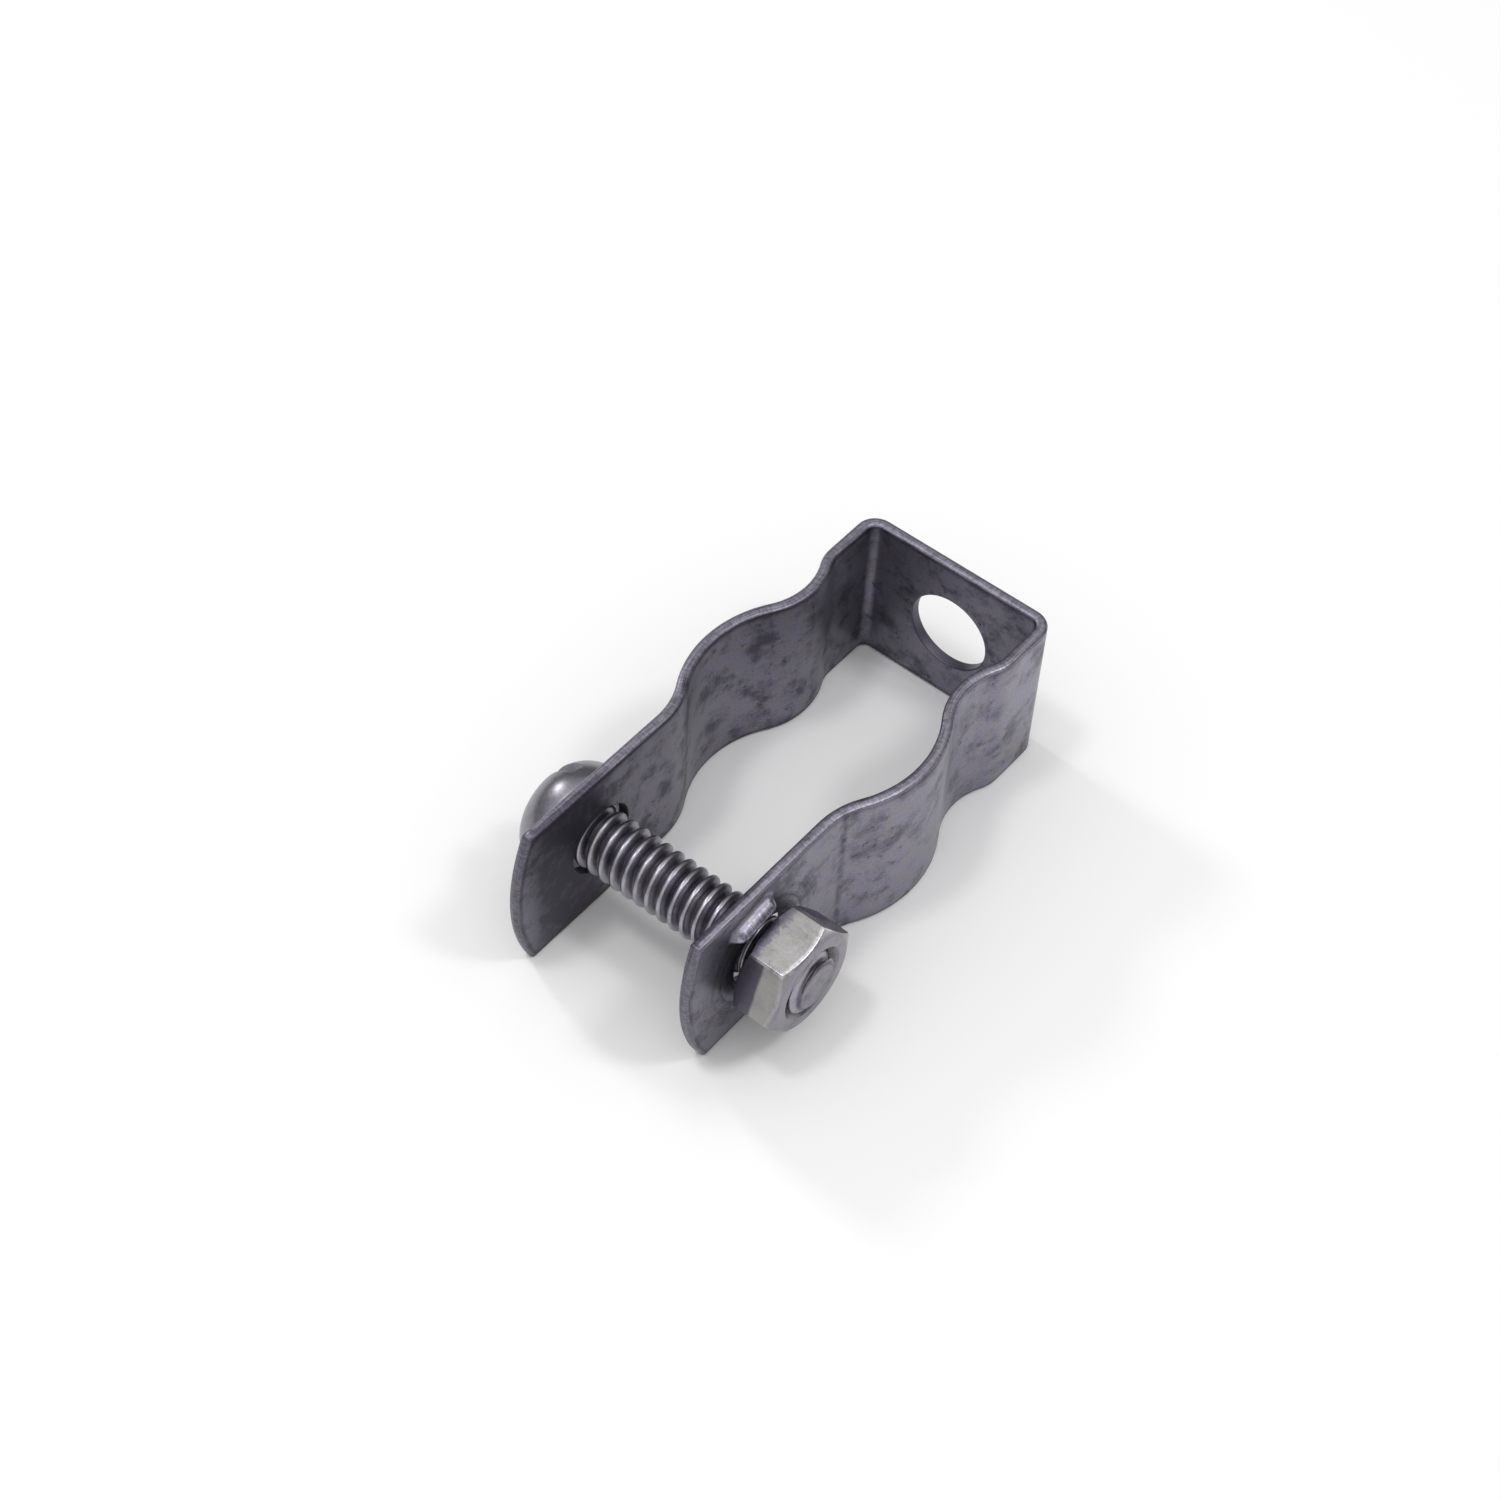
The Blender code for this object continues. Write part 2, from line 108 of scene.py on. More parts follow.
def length(name, millimetres, description):
    return FloatProperty(
        name=name, description=description, default=millimetres * MM, min=0.0, unit="LENGTH",
        precision=5,
    )


def colour(name, value, description):
    return FloatVectorProperty(
        name=name, description=description, default=value, size=3, min=0.0, max=1.0,
        subtype="COLOR",
    )


class ClampStrapSizes(bpy.types.PropertyGroup):
    thickness: length("Thickness", 0.9, "Thickness of the strip")
    edge_rounding: length("Edge rounding", 0.32, "How far the strip's cut edges are rounded off")
    edge_fullness: FloatProperty(
        name="Edge fullness", description="Exponent of the rounded edge, 2 being an ellipse",
        default=2.3, min=1.5, max=8.0,
    )
    conduit_diameter: length("Conduit diameter", 17.93, "Outside of the tube that the legs hold")
    waist_grip: length("Waist grip", 2.4, "How far each leg comes inside the conduit's side")
    waist_radius: length("Waist radius", 6.53, "Bend between the seat and the base")
    ear_grip: length("Ear grip", 2.2, "How far each ear stands inside the conduit's side")
    neck_radius: length("Neck radius", 6.97, "Bend between the seat and the ear")
    base_step: length("Base step", 0.97, "How much wider the legs stand beside the base")
    step_radius: length("Step radius", 2.6, "Bend that starts the step")
    base_corner_radius: length("Base corner", 0.75, "Inner bend at each end of the base")
    base_run: length("Base run", 3.45, "Straight stretch of each leg beside the base")
    ear_bulge: length("Ear bulge", 1.5, "How far the ear's rounded end passes its corners")
    shortfall: length("Shortfall", 0.95, "How much shorter the ear at the nut is than the other")
    slant: FloatProperty(
        name="Slant", description="Turn of the rounded end of the ear at the nut",
        default=math.radians(4.2), subtype="ANGLE",
    )
    base_hole: length("Base hole", 6.75, "Diameter of the hole in the base")
    ear_hole: length("Ear holes", 5.73, "Diameter of the holes in the ears")
    hole_lip: length("Hole lip", 0.1, "Rounding of the holes' edges")


class ClampRibSizes(bpy.types.PropertyGroup):
    rib_length: length("Length", 4.5, "Length of each rib")
    rib_width: length("Width", 1.6, "Width of each rib")
    rib_height: length("Height", 0.85, "How far each rib rises from the ear")
    clearance: length("Clearance", 0.18, "Gap between a rib and the nut's flat")
    shift: length("Shift", 0.5, "How far each rib sits from the middle of the flat")
    wall: length("Wall", 0.4, "Metal between a rib and the groove behind it")


class ClampScrewSizes(bpy.types.PropertyGroup):
    diameter: length("Diameter", 4.83, "Outside of the thread")
    pitch: length("Pitch", 25.4 / 24, "Distance from one crest to the next")
    thread_depth: length("Thread depth", 0.62, "Height of the thread's rounded section")
    thread_fullness: FloatProperty(
        name="Thread fullness", description="Exponent that broadens the crests of the thread",
        default=1.6, min=0.5, max=3.0,
    )
    head_diameter: length("Head diameter", 9.3, "Diameter of the domed head")
    head_height: length("Head height", 3.7, "Height of the domed head")
    slot_width: length("Slot width", 1.25, "Width of the driver's slot")
    slot_depth: length("Slot depth", 2.5, "Depth of the slot at its middle")
    edge_wear: length("Edge wear", 0.06, "Rounding of the edges of the slot and the rim")
    point_diameter: length("Point diameter", 3.3, "Flat end of the screw inside its chamfer")
    point_length: length("Point length", 0.45, "Length of the chamfer at the end")
    slot_angle: FloatProperty(
        name="Slot angle", description="Turn of the slot from +Y towards +Z",
        default=math.radians(76), subtype="ANGLE",
    )
    head_fullness: FloatProperty(
        name="Head fullness", description="Exponent of the dome's outline, 2 being an ellipse",
        default=2.3, min=1.5, max=4.0,
    )
    sides: IntProperty(name="Sides", description="Sides of the thread", default=96, min=24)


class ClampNutSizes(bpy.types.PropertyGroup):
    across_flats: length("Across flats", 7.94, "Width of the hexagon")
    countersink: length("Countersink", 5.9, "Diameter of the countersink at each face")
    thread_clearance: length("Thread clearance", 0.06, "Play between the two threads")
    edge_wear: length("Edge wear", 0.11, "Rounding of the hexagon's edges")
    angle: FloatProperty(
        name="Angle", description="A corner's turn from +Y towards +Z",
        default=math.radians(9.5), subtype="ANGLE",
    )
    chamfer: FloatProperty(
        name="Chamfer", description="Slope of the chamfer on both faces",
        default=math.radians(30), subtype="ANGLE",
    )
    face_share: FloatProperty(
        name="Face share", description="Flat face over the width across flats",
        default=0.95, min=0.5, max=1.0, subtype="FACTOR",
    )


class ClampColours(bpy.types.PropertyGroup):
    strap: colour("Strap", (0.262, 0.251, 0.315), "Zinc of the strap")
    screw: colour("Screw", (0.366, 0.354, 0.405), "Zinc of the screw")
    # The upper flat's zinc; the lower flats take a darker copy of it as painted shade.
    nut: colour("Nut", (0.42, 0.415, 0.42), "Zinc of the nut's upper flat")
    nut_shaded_sides: colour("Nut sides", (0.28, 0.275, 0.27), "Zinc of the nut's lower flats")
    # Darker violet next to the ear: a painted reflection of the ear in the flats.
    nut_rear_reflection: colour("Nut rear", (0.235, 0.225, 0.27), "Rougher zinc next to the ear")
    # Violet front face, darkened as painted shade.
    nut_face_shaded: colour("Nut face", (0.265, 0.252, 0.298), "Zinc of the nut's front face")
    # Painted highlight along the front edges of the flats.
    nut_edge_highlight: colour("Nut edge", (0.72, 0.71, 0.75), "Metal laid bare on the nut's front edge")
    # Also the colour that the painted shade darkens towards.
    stain: colour("Stain", (0.09, 0.083, 0.11), "Darker stains on the zinc")
    floor: colour("Floor", (0.85, 0.85, 0.85), "Surface that the clamp lies on")


# Meshes


def mesh_object(name, vertices, faces):
    mesh = bpy.data.meshes.new(name)
    mesh.from_pydata(vertices, [], faces)
    obj = bpy.data.objects.new(name, mesh)
    bpy.context.scene.collection.objects.link(obj)
    face_outwards(obj)
    return obj


def face_outwards(obj):
    bm = bmesh.new()
    bm.from_mesh(obj.data)
    bmesh.ops.recalc_face_normals(bm, faces=bm.faces)
    bm.to_mesh(obj.data)
    bm.free()


def freeze(obj, helpers=()):
    """Turns what the modifiers make into a plain mesh, and removes the helpers that they used."""
    bpy.context.view_layer.update()
    graph = bpy.context.evaluated_depsgraph_get()
    shape = bpy.data.meshes.new_from_object(obj.evaluated_get(graph))
    old = obj.data
    obj.modifiers.clear()
    obj.data = shape
    bpy.data.meshes.remove(old)
    for helper in helpers:
        bpy.data.objects.remove(helper, do_unlink=True)


def boolean(obj, other, operation):
    modifier = obj.modifiers.new(other.name, "BOOLEAN")
    modifier.operation = operation
    modifier.solver = "EXACT"
    modifier.object = other


def wear(obj, width, segments):
    """Rounds the edges that bend by more than 22 degrees."""
    modifier = obj.modifiers.new("edge_wear", "BEVEL")
    modifier.width = width
    modifier.segments = segments
    modifier.limit_method = "ANGLE"
    modifier.angle_limit = math.radians(22)


def turned(name, profile, sides, place=Matrix()):
    """Solid of revolution about X from (x, radius) points that start and end on the axis."""
    vertices = []
    rings = []
    for x, radius in profile:
        if radius == 0.0:
            rings.append([len(vertices)] * sides)
            vertices.append(place @ Vector((x, 0.0, 0.0)))
            continue
        rings.append(list(range(len(vertices), len(vertices) + sides)))
        for side in range(sides):
            angle = math.tau * side / sides
            point = Vector((x, radius * math.cos(angle), radius * math.sin(angle)))
            vertices.append(place @ point)
    faces = []
    for near, far in zip(rings, rings[1:]):
        for side in range(sides):
            other = (side + 1) % sides
            corners = (near[side], near[other], far[other], far[side])
            faces.append(tuple(dict.fromkeys(corners)))
    return mesh_object(name, vertices, faces)


def finish_piece(obj, body, material, sharp=32):
    mesh = obj.data
    mesh.materials.clear()
    mesh.materials.append(material)
    mesh.shade_smooth()
    mesh.set_sharp_from_angle(angle=math.radians(sharp))
    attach(obj, body)
    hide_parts(body)


# Strap


def bend_line(size):
    """Inner face of half the strip seen along Z, from the middle of the base to the ear.

    Each stretch is (length, curvature, steps). A bend towards the conduit has a negative curvature.
    """
    seat = size.conduit_diameter / 2
    base_half_gap = seat - size.waist_grip + size.base_step
    corner = size.base_corner_radius
    step_turn = math.acos(1 - size.base_step / (size.step_radius + size.waist_radius))
    waist_turn = math.acos(1 - size.waist_grip / (seat + size.waist_radius))
    neck_turn = math.acos(1 - size.ear_grip / (seat + size.neck_radius))
    return (
        (base_half_gap - corner, 0.0, 26),
        (corner * math.pi / 2, -1 / corner, 14),
        (size.base_run, 0.0, 12),
        (size.step_radius * step_turn, -1 / size.step_radius, 8),
        (size.waist_radius * (step_turn + waist_turn), 1 / size.waist_radius, 22),
        (seat * (waist_turn + neck_turn), -1 / seat, 40),
        (size.neck_radius * neck_turn, 1 / size.neck_radius, 14),
    )


class Bend:
    """Places of the strip: from (distance along it, depth from its inner face) to x and y."""

    def __init__(self, stretches):
        self.starts = []
        travelled, x, y, normal = 0.0, 0.0, 0.0, math.pi / 2
        for stretch, curvature, _ in (*stretches, (1.0, 0.0, 0)):
            self.starts.append((travelled, x, y, normal, curvature))
            travelled += stretch
            if curvature:
                turned_to = normal + curvature * stretch
                x += (math.cos(normal) - math.cos(turned_to)) / curvature
                y += (math.sin(normal) - math.sin(turned_to)) / curvature
                normal = turned_to
            else:
                x += stretch * math.sin(normal)
                y -= stretch * math.cos(normal)
        self.table = np.array(self.starts)
        self.ear_start, _, self.ear_y = self.starts[-1][:3]

    def places(self, distance, depth):
        index = np.searchsorted(self.table[:, 0], np.abs(distance), side="right") - 1
        start, x, y, normal, curvature = self.table[index].T
        beyond = np.abs(distance) - start
        turned_to = normal + curvature * beyond
        bent = curvature != 0.0
        safe = np.where(bent, curvature, 1.0)
        across = np.where(
            bent, (np.cos(normal) - np.cos(turned_to)) / safe, beyond * np.sin(normal)
        )
        down = np.where(
            bent, (np.sin(normal) - np.sin(turned_to)) / safe, -beyond * np.cos(normal)
        )
        x = x + across + depth * np.cos(turned_to)
        y = y + down + depth * np.sin(turned_to)
        return np.where(distance < 0, -x, x), y


def spaced(*marks):
    """Numbers from the first mark's place to the last's, each mark being (place, steps to it)."""
    places = [np.array([marks[0][0]])]
    for (low, _), (high, steps) in zip(marks, marks[1:]):
        places.append(np.linspace(low, high, steps + 1)[1:])
    return np.concatenate(places)


def rib_frames(ribs, nut):
    """Each rib's middle on the ear, as (y, z) from the screw, and its direction."""
    from_axis = nut.across_flats / 2 + ribs.clearance + ribs.rib_width / 2
    for turn in (0.0, math.pi):
        angle = nut.angle + math.pi / 2 + turn
        out = np.array((math.cos(angle), math.sin(angle)))
        along = np.array((-out[1], out[0]))
        yield from_axis * out + ribs.shift * along, out, along


def rib_rise(y, z, ribs, nut, shrink):
    """Height of the two ribs at places on the ear, or of the grooves behind them."""
    rise = np.zeros_like(y)
    half_width = ribs.rib_width / 2 - shrink
    half_straight = (ribs.rib_length - ribs.rib_width) / 2
    for middle, out, along in rib_frames(ribs, nut):
        from_middle = np.stack([y, z], axis=-1) - middle
        past = np.maximum(np.abs(from_middle @ along) - half_straight, 0.0)
        share = np.clip(np.hypot(from_middle @ out, past) / (1.1 * half_width), 0.0, 1.0)
        dome = 0.5 * (1 + np.cos(math.pi * share**1.4))
        rise = np.maximum(rise, (ribs.rib_height - shrink) * dome)
    return rise


def strip_rows(size, ribs, nut, stretches, bend, ear_tip):
    """Rows across the strip: a distance to start from, and the share of the ear added to it."""
    half = [np.zeros(1)]
    travelled = 0.0
    for stretch, _, steps in stretches:
        half.append(travelled + np.linspace(0.0, stretch, steps + 1)[1:])
        travelled += stretch
    half = np.concatenate(half)
    rib_y = np.array([place[0] for place, _, _ in rib_frames(ribs, nut)])
    reach = ribs.rib_length / 2 + 0.4 * MM
    base_y = STRAP_HIGH[1] - size.thickness
    screw_distance = bend.ear_start + bend.ear_y + base_y - SCREW_AXIS[1]
    ear_length = ear_tip - bend.ear_start
    first = (screw_distance - rib_y.max() - reach - bend.ear_start) / ear_length
    last = (screw_distance - rib_y.min() + reach - bend.ear_start) / ear_length
    right_ear = spaced((0.0, 0), (first, 8), (last, 76), (1.0, 22))[1:]
    left_ear = spaced((0.0, 0), (1.0, 20))[1:]
    fixed = np.concatenate([
        np.full(len(left_ear), -bend.ear_start), -half[:0:-1], half,
        np.full(len(right_ear), bend.ear_start),
    ])
    share = np.concatenate([-left_ear[::-1], np.zeros(2 * len(half) - 1), right_ear])
    return fixed, share


def strip_columns(ribs, nut, width):
    """Columns along the strip, as shares of its width that lie closer together at the ribs."""
    middle = width / 2
    rib_z = middle - max(place[1] for place, _, _ in rib_frames(ribs, nut))
    near = spaced(
        (0.0, 0), (0.4 * MM, 3), (rib_z - 0.75 * ribs.rib_width, 3),
        (rib_z + 0.75 * ribs.rib_width, 26), (middle, 8),
    ) / width
    return np.concatenate([near, 1 - near[-2::-1]])


def edge_profile(size):
    """Rounded cut edge between both faces: (how far in, depth from the inner face)."""
    power = 2 / size.edge_fullness
    for step in range(1, EDGE_STEPS):
        turn = math.pi * step / EDGE_STEPS
        out = math.copysign(abs(math.cos(turn)) ** power, math.cos(turn))
        inset = size.edge_rounding * (1 - math.sin(turn) ** power)
        yield inset, size.thickness * (1 - out) / 2


def grid_rim(rows, columns):
    """(row, column) of each point on the outline of a grid, in order round it."""
    rim = [(row, 0) for row in range(rows)]
    rim += [(rows - 1, column) for column in range(1, columns)]
    rim += [(row, columns - 1) for row in range(rows - 2, -1, -1)]
    rim += [(0, column) for column in range(columns - 2, 0, -1)]
    return np.array(rim)


def strip_faces(row_count, column_count, rim, profile_steps):
    """Faces of the two grids of points and of the rounded edge between their rims."""
    grid = np.arange(row_count * column_count).reshape(row_count, column_count)
    quads = np.stack([grid[:-1, :-1], grid[1:, :-1], grid[1:, 1:], grid[:-1, 1:]], axis=-1)
    quads = quads.reshape(-1, 4)
    top = grid.size + profile_steps * len(rim)
    loops = [grid[rim[:, 0], rim[:, 1]]]
    loops += [grid.size + step * len(rim) + np.arange(len(rim)) for step in range(profile_steps)]
    loops.append(top + loops[0])
    skirt = [
        np.stack([near, np.roll(near, -1), np.roll(far, -1), far], axis=-1)
        for near, far in zip(loops, loops[1:])
    ]
    return np.concatenate([quads, *skirt, (quads + top)[:, ::-1]])


def strip_mesh(size, ribs, nut):
    """The bent strip without its holes, as one closed mesh laid out in plan and then bent."""
    width = STRAP_HIGH[2] - STRAP_LOW[2]
    middle = width / 2
    stretches = bend_line(size)
    bend = Bend(stretches)
    base_y = STRAP_HIGH[1] - size.thickness
    mid_x = (STRAP_LOW[0] + STRAP_HIGH[0]) / 2
    ear_tip = bend.ear_start + bend.ear_y + base_y - STRAP_LOW[1]
    end_radius = (middle**2 + size.ear_bulge**2) / (2 * size.ear_bulge)
    to_centre = end_radius - size.ear_bulge
    right_corners = ear_tip - size.ear_bulge - size.shortfall
    left_end = (ear_tip - end_radius, middle)
    right_end = (
        right_corners - to_centre * math.cos(size.slant),
        middle + to_centre * math.sin(size.slant),
    )
    fixed, share = strip_rows(size, ribs, nut, stretches, bend, ear_tip)
    columns = strip_columns(ribs, nut, width)

    def layer(inset, depth, rows, across):
        """Places of the points at one depth, with what the material reads from them."""
        z = inset + columns[across] * (width - 2 * inset)
        on_right = share[rows] > 0
        centre_s = np.where(on_right, right_end[0], left_end[0])
        centre_z = np.where(on_right, right_end[1], left_end[1])
        end = centre_s + np.sqrt((end_radius - inset) ** 2 - (z - centre_z) ** 2)
        distance = fixed[rows] + share[rows] * (end - bend.ear_start)
        on_ear = on_right.astype(float)
        ear_y = bend.ear_y - (distance - bend.ear_start) + base_y - SCREW_AXIS[1]
        from_inner = depth / size.thickness
        outer_rise = rib_rise(ear_y, z - middle, ribs, nut, 0.0)
        inner_rise = rib_rise(ear_y, z - middle, ribs, nut, ribs.wall)
        lifted = depth + on_ear * (from_inner * outer_rise + (1 - from_inner) * inner_rise)
        x, y = bend.places(distance, lifted)
        from_edge = np.minimum(z, width - z)
        from_edge = np.minimum(from_edge, np.abs(end - np.abs(distance)) + inset)
        return (
            np.stack([x + mid_x, y + base_y, z + STRAP_LOW[2]], axis=-1),
            np.stack([distance, z], axis=-1),
            np.stack([from_edge, np.full(len(z), from_inner)], axis=-1),
            np.stack([on_ear * outer_rise / ribs.rib_height, on_ear], axis=-1),
        )

    row_count, column_count = len(fixed), len(columns)
    rows, across = np.indices((row_count, column_count)).reshape(2, -1)
    rim = grid_rim(row_count, column_count)
    profile = list(edge_profile(size))
    layers = [layer(size.edge_rounding, 0.0, rows, across)]
    layers += [layer(inset, depth, rim[:, 0], rim[:, 1]) for inset, depth in profile]
    layers.append(layer(size.edge_rounding, size.thickness, rows, across))
    points, plan, edge, relief = (np.concatenate(parts) for parts in zip(*layers))

    faces = strip_faces(row_count, column_count, rim, len(profile))
    strap = mesh_object("strap_strip", points.tolist(), faces.tolist())
    corner_vertices = np.empty(len(strap.data.loops), np.int32)
    strap.data.loops.foreach_get("vertex_index", corner_vertices)
    for name, values in (("plan", plan), ("edge", edge), ("relief", relief)):
        uv_map = strap.data.uv_layers.new(name=name)
        uv_map.data.foreach_set("uv", values[corner_vertices].ravel())
    return strap


def hole_profile(thickness, radius, lip):
    """Cutter for one wall of the strip, its face at x = 0, that rounds both edges of the hole."""
    off_face, flare = 0.02 * MM, 0.3 * MM
    mouth = [(-SPARE, 0.0), (-SPARE, radius + lip + SPARE), (-off_face, radius + lip + flare)]
    for step in range(LIP_STEPS + 1):
        turn = math.pi / 2 * step / LIP_STEPS
        mouth.append((lip * (1 - math.cos(turn)), radius + lip * (1 - math.sin(turn))))
    return mouth + [(thickness - x, wide) for x, wide in reversed(mouth)]


class CLAMP_OT_strap(bpy.types.Operator):
    """Build the bent strap with its holes and the ribs that hold the nut"""

    bl_idname = "clamp.strap"
    bl_label = "Build strap"

    def execute(self, context):
        scene = context.scene
        size = scene.clamp_strap
        strap = strip_mesh(size, scene.clamp_ribs, scene.clamp_nut)
        mid_x = (STRAP_LOW[0] + STRAP_HIGH[0]) / 2
        middle = (STRAP_LOW[2] + STRAP_HIGH[2]) / 2
        ear_half_gap = size.conduit_diameter / 2 - size.ear_grip
        ear_profile = hole_profile(size.thickness, size.ear_hole / 2, size.hole_lip)
        base_profile = hole_profile(size.thickness, size.base_hole / 2, size.hole_lip)
        about_y = Matrix.Rotation(math.pi / 2, 4, "Z")
        base_place = Matrix.Translation((mid_x, STRAP_HIGH[1] - size.thickness, middle)) @ about_y
        left_x = mid_x - ear_half_gap - size.thickness
        left_place = Matrix.Translation((left_x, SCREW_AXIS[1], middle))
        right_place = Matrix.Translation((mid_x + ear_half_gap, SCREW_AXIS[1], middle))
        cutters = [
            turned("base_hole", base_profile, ROUND_SIDES, base_place),
            turned("left_ear_hole", ear_profile, ROUND_SIDES, left_place),
            turned("right_ear_hole", ear_profile, ROUND_SIDES, right_place),
        ]
        for cutter in cutters:
            boolean(strap, cutter, "DIFFERENCE")
        freeze(strap, cutters)
        strap.name = strap.data.name = "clamp_strap"
        finish_piece(strap, "strap", strap_zinc(size), sharp=70)
        return {"FINISHED"}


# Node trees


class Nodes:
    """Short way to add nodes to a tree, each with the values or sockets that feed it."""

    def __init__(self, tree):
        self.tree = tree

    def feed(self, socket, value):
        if isinstance(value, bpy.types.NodeSocket):
            self.tree.links.new(value, socket)
        elif value is not None:
            socket.default_value = value

    def add(self, kind, *values, named=(), **settings):
        node = self.tree.nodes.new(kind)
        for key, value in settings.items():
            setattr(node, key, value)
        for socket, value in zip(node.inputs, values):
            self.feed(socket, value)
        for key, value in dict(named).items():
            self.feed(node.inputs[key], value)
        return node

    def maths(self, operation, *values):
        return self.add("ShaderNodeMath", *values, operation=operation).outputs[0]

    def noise(self, place, scale, detail, roughness):
        return self.add(
            "ShaderNodeTexNoise",
            named={"Vector": place, "Scale": scale, "Detail": detail, "Roughness": roughness},
        ).outputs[0]

    def ramp(self, value, low, high):
        """Soft step from 0 at low to 1 at high, which may be the lesser."""
        flipped = high < low
        ends = (high, low, 1.0, 0.0) if flipped else (low, high, 0.0, 1.0)
        node = self.add("ShaderNodeMapRange", value, *ends, interpolation_type="SMOOTHSTEP")
        return node.outputs[0]

    def mixed(self, factor, first, second):
        node = self.add(
            "ShaderNodeMix", data_type="RGBA", named={"Factor": factor, 6: first, 7: second}
        )
        return node.outputs[2]

    def uv(self, name):
        place = self.add("ShaderNodeUVMap", uv_map=name).outputs[0]
        return self.add("ShaderNodeSeparateXYZ", place).outputs

    def vector(self, operation, first, second, output=0):
        node = self.add("ShaderNodeVectorMath", first, second, operation=operation)
        return node.outputs[output]

    def object_place(self):
        return self.add("ShaderNodeTexCoord").outputs["Object"]

    def from_axis(self, x):
        """Distance along the screw from x, distance from its axis, and the vector of both."""
        vector = self.vector("SUBTRACT", self.object_place(), (x, *SCREW_AXIS[1:]))
        flat = self.vector("MULTIPLY", vector, (0.0, 1.0, 1.0))
        radial = self.vector("LENGTH", flat, None, output=1)
        return self.add("ShaderNodeSeparateXYZ", vector).outputs[0], radial, vector


def new_group(name, kind, inputs, outputs):
    tree = bpy.data.node_groups.new(name, kind)
    for direction, sockets in (("INPUT", inputs), ("OUTPUT", outputs)):
        for socket_name, socket_kind in sockets:
            tree.interface.new_socket(socket_name, in_out=direction, socket_type=socket_kind)
    start = tree.nodes.new("NodeGroupInput")
    end = tree.nodes.new("NodeGroupOutput")
    return tree, start.outputs, end.inputs


def threaded_rod_tree():
    """Rod about X whose thread winds on from x = 0 at angle 0, with a cone at its far end."""
    number, whole = "NodeSocketFloat", "NodeSocketInt"
    tree, given, result = new_group(
        "threaded_rod",
        "GeometryNodeTree",
        (
            ("Start", number), ("End", number), ("Pitch", number), ("Depth", number),
            ("Fullness", number), ("Crest Radius", number), ("Point Radius", number),
            ("Point Slope", number), ("Sides", whole), ("Samples", whole),
            ("Material", "NodeSocketMaterial"),
        ),
        (("Geometry", "NodeSocketGeometry"),),
    )
    nodes = Nodes(tree)
    maths = nodes.maths
    start, end, pitch, crest = (given[name] for name in ("Start", "End", "Pitch", "Crest Radius"))
    first_turn = maths("SUBTRACT", maths("FLOOR", maths("DIVIDE", start, pitch)), 2.0)
    last_turn = maths("ADD", maths("CEIL", maths("DIVIDE", end, pitch)), 1.0)
    turns = maths("SUBTRACT", last_turn, first_turn)
    rows = maths("ADD", maths("MULTIPLY", turns, given["Samples"]), 1.0)
    columns = maths("ADD", given["Sides"], 1.0)
    grid = nodes.add("GeometryNodeMeshGrid", 1.0, 1.0, columns, rows)
    place = nodes.add("ShaderNodeSeparateXYZ", grid.outputs["UV Map"])
    round_share, along_share = place.outputs[0], place.outputs[1]
    turn = maths("ADD", maths("MULTIPLY_ADD", turns, along_share, first_turn), round_share)
    free_x = maths("MULTIPLY", turn, pitch)
    x = maths("MINIMUM", maths("MAXIMUM", free_x, start), end)
    phase = maths("SUBTRACT", maths("DIVIDE", x, pitch), round_share)
    wave = maths("COSINE", maths("MULTIPLY", phase, math.tau))
    drop = maths("MULTIPLY", maths("SUBTRACT", 1.0, wave), 0.5)
    drop = maths("POWER", drop, given["Fullness"])
    thread = maths("SUBTRACT", crest, maths("MULTIPLY", drop, given["Depth"]))
    from_end = maths("SUBTRACT", end, x)
    cone = maths("MULTIPLY_ADD", from_end, given["Point Slope"], given["Point Radius"])
    radius = maths("MINIMUM", thread, cone)
    step = maths("DIVIDE", pitch, given["Samples"])
    past_end = maths("GREATER_THAN", free_x, maths("ADD", end, step))
    before_start = maths("LESS_THAN", free_x, maths("SUBTRACT", start, step))
    kept = maths("SUBTRACT", 1.0, maths("MAXIMUM", past_end, before_start))
    radius = maths("MULTIPLY", radius, kept)
    angle = maths("MULTIPLY", round_share, math.tau)
    y = maths("MULTIPLY", radius, maths("COSINE", angle))
    z = maths("MULTIPLY", radius, maths("SINE", angle))
    position = nodes.add("ShaderNodeCombineXYZ", x, y, z).outputs[0]
    placed = nodes.add(
        "GeometryNodeSetPosition", named={"Geometry": grid.outputs["Mesh"], "Position": position}
    )
    merged = nodes.add(
        "GeometryNodeMergeByDistance",
        named={"Geometry": placed.outputs[0], "Distance": 0.0005 * MM},
    )
    real = nodes.add("GeometryNodeRealizeInstances", merged.outputs[0])
    painted = nodes.add(
        "GeometryNodeSetMaterial",
        named={"Geometry": real.outputs[0], "Material": given["Material"]},
    )
    nodes.feed(result[0], painted.outputs[0])
    return tree


def threaded_rod(name, place, values):
    """Plain mesh of the rod that the node tree makes, moved to its place."""
    tree = bpy.data.node_groups.get("threaded_rod") or threaded_rod_tree()
    obj = mesh_object(name, [(0.0, 0.0, 0.0)], [])
    modifier = obj.modifiers.new("thread", "NODES")
    modifier.node_group = tree
    for item in tree.interface.items_tree:
        if item.in_out == "INPUT" and item.name in values:
            modifier[item.identifier] = values[item.name]
    freeze(obj)
    obj.data.transform(place)
    face_outwards(obj)
    return obj


